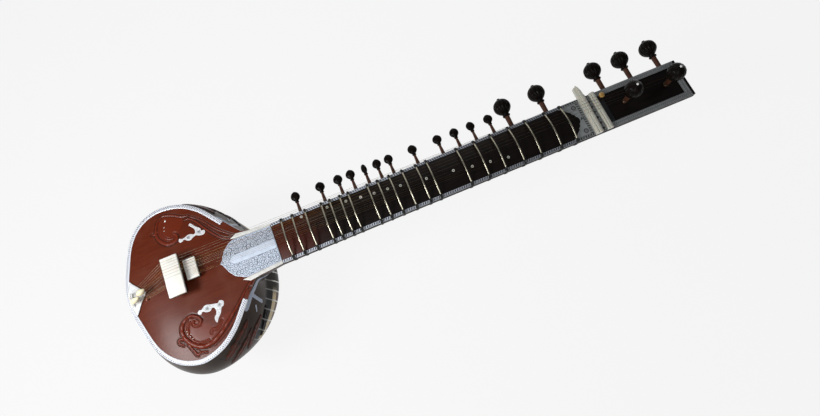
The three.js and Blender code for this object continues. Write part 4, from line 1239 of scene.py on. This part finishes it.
def pegs():
    small = [(-40.6, 2.4), (20, 3.4), (43, 3.7), (52, 3.9), (60, 3.4), (68, 2.9), (70.5, 2.9), (71.3, 4.2), (72.6, 4.5),
             (73.6, 3.6), (75.2, 4.6), (77.2, 6.9), (79.6, 9.0), (82.2, 10.1), (85, 10.3), (87.6, 9.8), (90, 8.6),
             (92, 6.9), (93.6, 4.7), (94.7, 2.6), (95.3, 1.3), (95.6, 0.6)]
    heights = [h for h, _ in small]
    for i, x in enumerate(SMALL_X):
        name = f"taraf_peg_{i + 1:02d}"
        turn = math.pi / 2 if i == 4 else random.uniform(-0.25, 0.25)
        lean = random.uniform(0.94, 1.0)

        def place(a, b, h):
            squeeze = 1 - 0.38 * step(73.5, 77, h)
            c, s = math.cos(turn), math.sin(turn)
            b = b * squeeze
            return (x + (a * c - b * s) * lean, h, PEG_Z + (a * s + b * c) * lean)

        def carved(a, h):
            depth = 0.07 * step(75, 78, h) * (1 - step(90, 93, h))
            return 1 - depth * (0.5 + 0.5 * math.cos(a * 9)) ** 2

        verts, faces = turned(small, 48, place, carved)
        build(name + "_wood", verts, faces, name, [M["shaft"], M["peg"]], [name], "peg_wood",
              pick=head_pick(48, heights, 70.4), sharp=50)

    large = [(-40.6, 4.0), (20, 4.8), (42, 4.9), (60, 5.2), (70, 5.4), (73.4, 5.5), (74.2, 7.6), (75.6, 8.4),
             (77.2, 8.2), (78.2, 6.6), (79.8, 6.8), (81.5, 8.6), (83.6, 11.2), (86, 13.6), (89, 16.0), (92, 17.6),
             (95.5, 18.5), (99, 18.6), (102.5, 18.1), (106, 16.9), (109.2, 14.8), (112, 11.9), (114.2, 8.6),
             (115.8, 5.4), (116.6, 3.9), (117.4, 3.8), (118.5, 3.2), (119.3, 1.8)]
    heights = [h for h, _ in large]

    def fluted(a, h, low=81, high=114, cut=0.09):
        depth = cut * step(low, low + 6, h) * (1 - step(high - 4, high + 1, h))
        return 1 - depth * (0.5 + 0.5 * math.cos(a * 14)) ** 4

    for name, x in LARGE.items():
        lean = random.uniform(0, 0.4)
        verts, faces = turned(large, 90, lambda a, b, h: (x + a * math.cos(lean) - b * math.sin(lean), h,
                                                          PEG_Z + a * math.sin(lean) + b * math.cos(lean)), fluted)
        build(name + "_wood", verts, faces, name, [M["shaft"], M["peg"]], [name], "peg_wood",
              pick=head_pick(90, heights, 73.3), sharp=50)

    front = [(-42.6, 4.1), (-2, 5.2), (12, 5.3), (24, 5.4), (24.8, 7.4), (26.2, 8.2), (27.6, 8.0), (28.6, 6.6),
             (30.2, 6.8), (32, 8.8), (34.2, 11.6), (36.6, 13.9), (39.8, 16.2), (43, 17.5), (46.5, 18.1),
             (50, 18.2), (53.4, 17.5), (57, 15.9), (60.4, 13.2), (63, 10.2), (65.2, 6.6), (66.4, 4.4), (67.2, 3.6)]
    heights = [h for h, _ in front]
    for name, x in FRONT.items():
        wood_part = turned(front, 90, lambda a, b, h: (x + b, a, h), lambda a, h: fluted(a, h, 32, 65, 0.055))
        dot = turned([(66.6, 2.2), (68.0, 2.4), (69.0, 1.9), (69.6, 0.9)], 24, lambda a, b, h: (x + b, a, h))
        verts, faces, _ = merge(wood_part, dot)
        pick = head_pick(90, heights, 23.9) + [2] * len(dot[1])
        build(name + "_wood", verts, faces, name, [M["shaft"], M["peg"], M["bone"]], [name], "peg_wood", pick=pick,
              sharp=50)


# ------------------------------------------------------------------ bridges, nut, guide
def bridges():
    # the lower block under the bone cap is near-black wood: painted shade on the side of the bridge slab
    cap = block((-17, 16), (-30.6, 49.2), (23.6, 28.3), 0.7)
    base = block((-16.4, 15.4), (-30, 48.6), (18, 23.7), 0.5)
    verts, faces, pick = merge(cap, base)
    build("bridge_top", verts, faces, BODY, [M["bone"], M["bridge_painted_shade"]], ["main_bridge_top"], "bone", pick=pick,
          sharp=30)
    feet = []
    for y0, y1 in ((-24, -9), (30, 43)):
        feet.append(block((-9, 9), (y0, y1), (0.2, 15.2), 1.2))
    feet.append(block((-9, 9), (-24, 43), (15.1, 17.8), 0.8))
    verts, faces, _ = merge(*feet)
    build("bridge_feet", verts, faces, BODY, M["rosewood"], ["main_bridge_feet"], "plain_wood", sharp=30)

    # the small bridge's lower block is near-black wood as well: painted shade
    cap = block((18, 42), (-5.5, 35.5), (9, 13), 0.6)
    base = block((19, 41), (-4.5, 34.5), (0.3, 9.1), 0.5)
    verts, faces, pick = merge(cap, base)
    build("small_bridge", verts, faces, BODY, [M["bone"], M["bridge_painted_shade"]], ["taraf_bridge"], "bone", pick=pick,
          sharp=30)

    # nut: three stepped ridges, the middle one running on past the edge as a tongue
    def ridge(a, b, z0, z1, tongue=False):
        outline = [(a, -44.8), (b, -44.8), (b + 2.6, 44)]
        if tongue:
            outline += [(b + 2.0, 55), (b - 0.4, 64), (b - 3.4, 68.6), (a + 2.2, 66), (a + 1.6, 56)]
        return prism(outline + [(a + 1.6, 44)], z0, z1, 0.7, 3)

    verts, faces, _ = merge(ridge(880.2, 894, 0.2, 8.0, True), ridge(881.4, 884.8, 7.7, 11.2),
                            ridge(885.4, 890.2, 7.7, 14.0, True), ridge(890.8, 893.6, 7.7, 11.2))
    build("nut_bone", verts, faces, BODY, M["head_bone"], ["nut"], "bone", sharp=35)
    steps = [((907, 919), 0.2, 6.0), ((907.8, 910.2), 5.7, 8.0), ((910.8, 915.4), 5.7, 10.0), ((916, 918.4), 5.7, 8.2)]
    verts, faces, _ = merge(*[prism([(a, -43.9), (b, -43.9), (b, 43.3), (a, 43.3)], z0, z1, 0.6, 3)
                              for (a, b), z0, z1 in steps])
    build("guide_bone", verts, faces, BODY, M["head_bone"], ["string_guide"], "bone", sharp=35)


# ------------------------------------------------------------------ tail
def hitch_z(x):
    return -2.9 - 0.2215 * (-70 - x)


def tail():
    outline = np.array([(-70, 9), (-76.5, 16), (-83, 23.5), (-90, 31), (-96, 38), (-99, 43), (-106, 31), (-109.5, 12),
                        (-108.5, -8), (-102, -29), (-97, -25), (-90, -15), (-84, -6.5), (-77, 1)], float)
    closed = np.concatenate([outline, outline[:1]])

    def pattern(x, y):
        edge, _ = to_polyline(x, y, closed)
        ink = filigree(x, y, 5.2, 11) * step(2.4, 2.9, edge) * 0.22
        return np.maximum(ink, np.exp(-(((edge - 1.9) / 0.35) ** 2)) * 0.8)

    def top(x, y):
        edge, _ = to_polyline(x, y, closed)
        return hitch_z(x) + 2.0 - 0.15 * pattern(x, y) + 0.5 * (1 - step(1.2, 2.0, edge))

    verts, faces, x, y = plaque(outline, 0.5, top, 2.2)
    ink = pattern(x, y)
    build("tail_plate", verts, faces, BODY, M["white"], ["tail_hitch"], "inlay", sharp=60,
          floats={"ink": np.concatenate([ink, ink * 0])})
    outline = [(-3, 1.6), (1.5, 1.6), (2.2, 2.2), (3.2, 2.2), (3.8, 1.2)]
    pin = turned(outline, 16, lambda a, b, h: (-71.5 + a, -6.5 + b, -2.8 + h))
    build("tail_pin", *pin, BODY, M["pin"], slot="plain_wood")


# ------------------------------------------------------------------ strings
BRIDGE_Z, NUT_Z, GUIDE_Z = 28.95, 14.65, 10.65
DROP = PEG_Z + 5.8
HITCH = (-101.5, -1.6)


def main_string_paths():
    front = list(FRONT.values())
    side = [LARGE[n] for n in ("side_peg_01", "side_peg_02", "side_peg_03")]
    chikari = [LARGE[n] for n in ("chikari_peg_01", "chikari_peg_02")]

    def into(i):
        y = (28, 22, 14)[i]
        return [(side[i], y, 0.9), (side[i], y, DROP)]

    def round_front(i):
        return [(front[i] - 4, 6, 4), (front[i] + 1, 6, 4)]

    rows = [(-8, 8, 2, round_front(0)), (-4, 14.5, 9, round_front(1)),
            (0, 20.5, 16, into(2)), (4, 26, 22.5, into(1)), (8, 31.5, 29.5, into(0)),
            (12, 37, None, [(chikari[1], 49, DROP)]), (16, 42, None, [(chikari[0], 50, DROP)])]
    paths = []
    for hitch, bridge, nut, end in rows:
        path = [(HITCH[0], hitch, HITCH[1]), (-17.5, bridge, BRIDGE_Z), (16.5, bridge, BRIDGE_Z)]
        if nut is not None:
            path += [(879.5, nut, NUT_Z), (898, nut, NUT_Z), (906.5, nut, GUIDE_Z), (919.5, nut, GUIDE_Z)]
        paths.append(path + end)
    return paths


def densify(path, gap=25.0):
    out = []
    for p, q in zip(path, path[1:]):
        p, q = np.array(p, float), np.array(q, float)
        n = max(1, int(np.linalg.norm(q - p) / gap))
        out += [p + (q - p) * k / n for k in range(n)]
    return np.array(out + [np.array(path[-1], float)])


def coil(x, y0, z, radius, turns, gap, axis="y"):
    """Turns of string wound on a peg's shaft."""
    t = np.linspace(0, turns, int(turns * 16) + 1)
    a = t * 2 * math.pi
    if axis == "y":
        return np.stack([x + radius * np.cos(a), y0 + t * gap, z + radius * np.sin(a)], 1)
    return np.stack([x + radius * np.cos(a), z + radius * np.sin(a), y0 + t * gap], 1)


def strings():
    steel, bronze = [], []
    for k, path in enumerate(main_string_paths()):
        (bronze if k in (2, 3) else steel).append(tube(densify(path), 0.24 if k in (2, 3) else 0.2, 8))
    for n, x in LARGE.items():
        if n.startswith("chikari"):
            steel.append(tube(coil(x, 46, PEG_Z, 5.4, 5, 0.6), 0.2, 6))
    for x in FRONT.values():
        steel.append(tube(coil(x, 1.5, 0, 5.5, 5, 0.6, "z"), 0.2, 6))
    sv, sf, _ = merge(*steel)
    bv, bf, _ = merge(*bronze)
    verts, faces, pick = merge((sv, sf), (bv, bf), block((-103, -100.5), (-10, 18), (-3.2, -0.6), 0.3))
    build("main_string_set", verts, faces, BODY, [M["steel"], M["bronze"], M["bone"]], ["main_strings"], "steel_wire", pick=pick,
          sharp=60)

    steel, bronze = [], []
    for i, (peg_x, x, y) in enumerate(zip(SMALL_X, GROMMET_X, GROMMET_Y)):
        bridge_y = 31 - 2.9 * i
        path = [(-101.5, 15 - 2 * i, -5.75), (17.5, bridge_y, 13.55), (42.5, bridge_y, 13.55), (x, y, 0.8),
                (x, y, -1.5), (peg_x, y, PEG_Z + 4.3)]
        (bronze if i % 3 == 1 else steel).append(tube(densify(path), 0.15, 6))
    sv, sf, _ = merge(*steel)
    bv, bf, _ = merge(*bronze)
    verts, faces, pick = merge((sv, sf), (bv, bf))
    build("sympathetic_string_set", verts, faces, BODY, [M["steel"], M["bronze"]], ["sympathetic_strings"],
          "steel_wire", pick=pick, sharp=60)


def beads():
    paths = main_string_paths()

    def bead(name, index, x, profile, offset, wide, high, long, material, shape=None):
        path = [np.array(p, float) for p in paths[index]]
        k = next(j for j in range(1, len(path)) if path[j][0] > x) - 1
        d = path[k + 1] - path[k]
        d /= np.linalg.norm(d)
        on = path[k] + d * (x - path[k][0]) / d[0]
        side = np.array([0, 1.0, 0]) - d * d[1]
        side /= np.linalg.norm(side)
        up = np.cross(d, side)
        centre = on + side * offset[0] + up * offset[1]
        fine = catmull(profile, 40)
        fine[:, 0] *= long

        def place(a, b, h):
            return tuple(centre + side * a * wide + up * b * high + d * h)

        verts, faces = turned([tuple(p) for p in fine], 32, place, shape)
        build(name + "_body", verts, faces, name, material, [name], "amber", sharp=60)

    egg = [(-8, 0.4), (-7.6, 2), (-6.5, 3.6), (-3, 5), (1, 5.2), (4.5, 4), (7, 2.2), (8.5, 0.4)]
    bead("tuning_bead_01", 2, -70.5, egg, (-0.5, 4.9), 1.08, 1.25, 1.15, M["bead"])
    bead("tuning_bead_02", 1, -88.5, [(-9.5, 0.4), (-9, 1.6), (-7.4, 3), (-4, 4.5), (0, 5), (4, 4.4), (7.4, 3), (9.2, 1.6),
                                      (9.7, 0.4)], (-0.4, 4.8), 1.02, 1.1, 1.15, M["bead"],
         lambda a, h: 1 - 0.12 * math.exp(-((math.sin((a - math.pi / 2) / 2) / 0.12) ** 2)) * step(7, 3, abs(h)))
    bead("peghead_bead", 4, 930.5, [(-5.8, 0.4), (-5.6, 2), (-4.4, 3.8), (-1.8, 5), (1.8, 5), (4.4, 3.8), (5.6, 2),
                                    (5.8, 0.4)], (0, 0), 1.2, 0.95, 1, M["amber"],
         lambda a, h: 1 - 0.5 * math.exp(-((math.sin((a - 1.92) / 2) / 0.2) ** 2)))


# ------------------------------------------------------------------ stage
def stage():
    low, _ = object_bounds()
    bpy.ops.mesh.primitive_plane_add(size=80, location=(0.4, 0, low[2] - 0.0004))
    floor = bpy.context.object
    floor.name = "floor"
    mat = bpy.data.materials.new("floor")
    mat.use_nodes = True
    bsdf = mat.node_tree.nodes["Principled BSDF"]
    bsdf.inputs["Base Color"].default_value = (0.07, 0.07, 0.07, 1)
    bsdf.inputs["Roughness"].default_value = 1.0
    bsdf.inputs["Specular IOR Level"].default_value = 0.0
    bsdf.inputs["Emission Color"].default_value = (1, 1, 1, 1)
    bsdf.inputs["Emission Strength"].default_value = 0.875
    floor.data.materials.append(mat)
    floor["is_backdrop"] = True

    world = bpy.data.worlds.new("studio")
    bpy.context.scene.world = world
    world.use_nodes = True
    world.node_tree.nodes["Background"].inputs[0].default_value = (0.95, 0.97, 1.0, 1)
    world.node_tree.nodes["Background"].inputs[1].default_value = 0.12

    def area(name, at, target, size, power, color=(1, 1, 1)):
        light = bpy.data.lights.new(name, "AREA")
        light.shape = "DISK"
        light.size = size
        light.energy = power
        light.color = color
        obj = bpy.data.objects.new(name, light)
        bpy.context.scene.collection.objects.link(obj)
        obj.location = (Vector(at) + Vector(ORIGIN)) / 1000
        aim = (Vector(target) + Vector(ORIGIN)) / 1000 - obj.location
        obj.rotation_euler = aim.to_track_quat("-Z", "Y").to_euler()

    area("key", (-620, -140, 900), (60, 0, 0), 0.5, 12.5)
    area("fill", (150, -900, 1100), (250, 0, 0), 1.2, 7)
    area("rim", (700, 1200, 900), (500, 0, 0), 1.4, 4)


CAMERA_CENTRE = (396.907, -317.542, 959.574)


def camera():
    rows = ((0.9224250626, -0.3837800358, -0.0429521593), (-0.3794677478, -0.8801361441, -0.2852448004),
            (0.0716675119, 0.2794159121, -0.9574917837))
    data = bpy.data.cameras.new("camera")
    data.sensor_width = 36
    data.lens = 501.702 * 36 / 820
    data.clip_start = 0.05
    obj = bpy.data.objects.new("camera", data)
    bpy.context.scene.collection.objects.link(obj)
    x, y, z = Vector(rows[0]), -Vector(rows[1]), -Vector(rows[2])
    turn = Matrix((x, y, z)).transposed().to_4x4()
    place = (Vector(CAMERA_CENTRE) + Vector(ORIGIN)) / 1000
    obj.matrix_world = Matrix.Translation(place) @ turn
    bpy.context.scene.camera = obj


soundboard()
binding()
ornaments()
bowl()
neck()
joint_plate()
head_plates()
frets()
pegs()
bridges()
tail()
strings()
beads()
stage()
camera()
bpy.context.scene.view_settings.view_transform = "Standard"
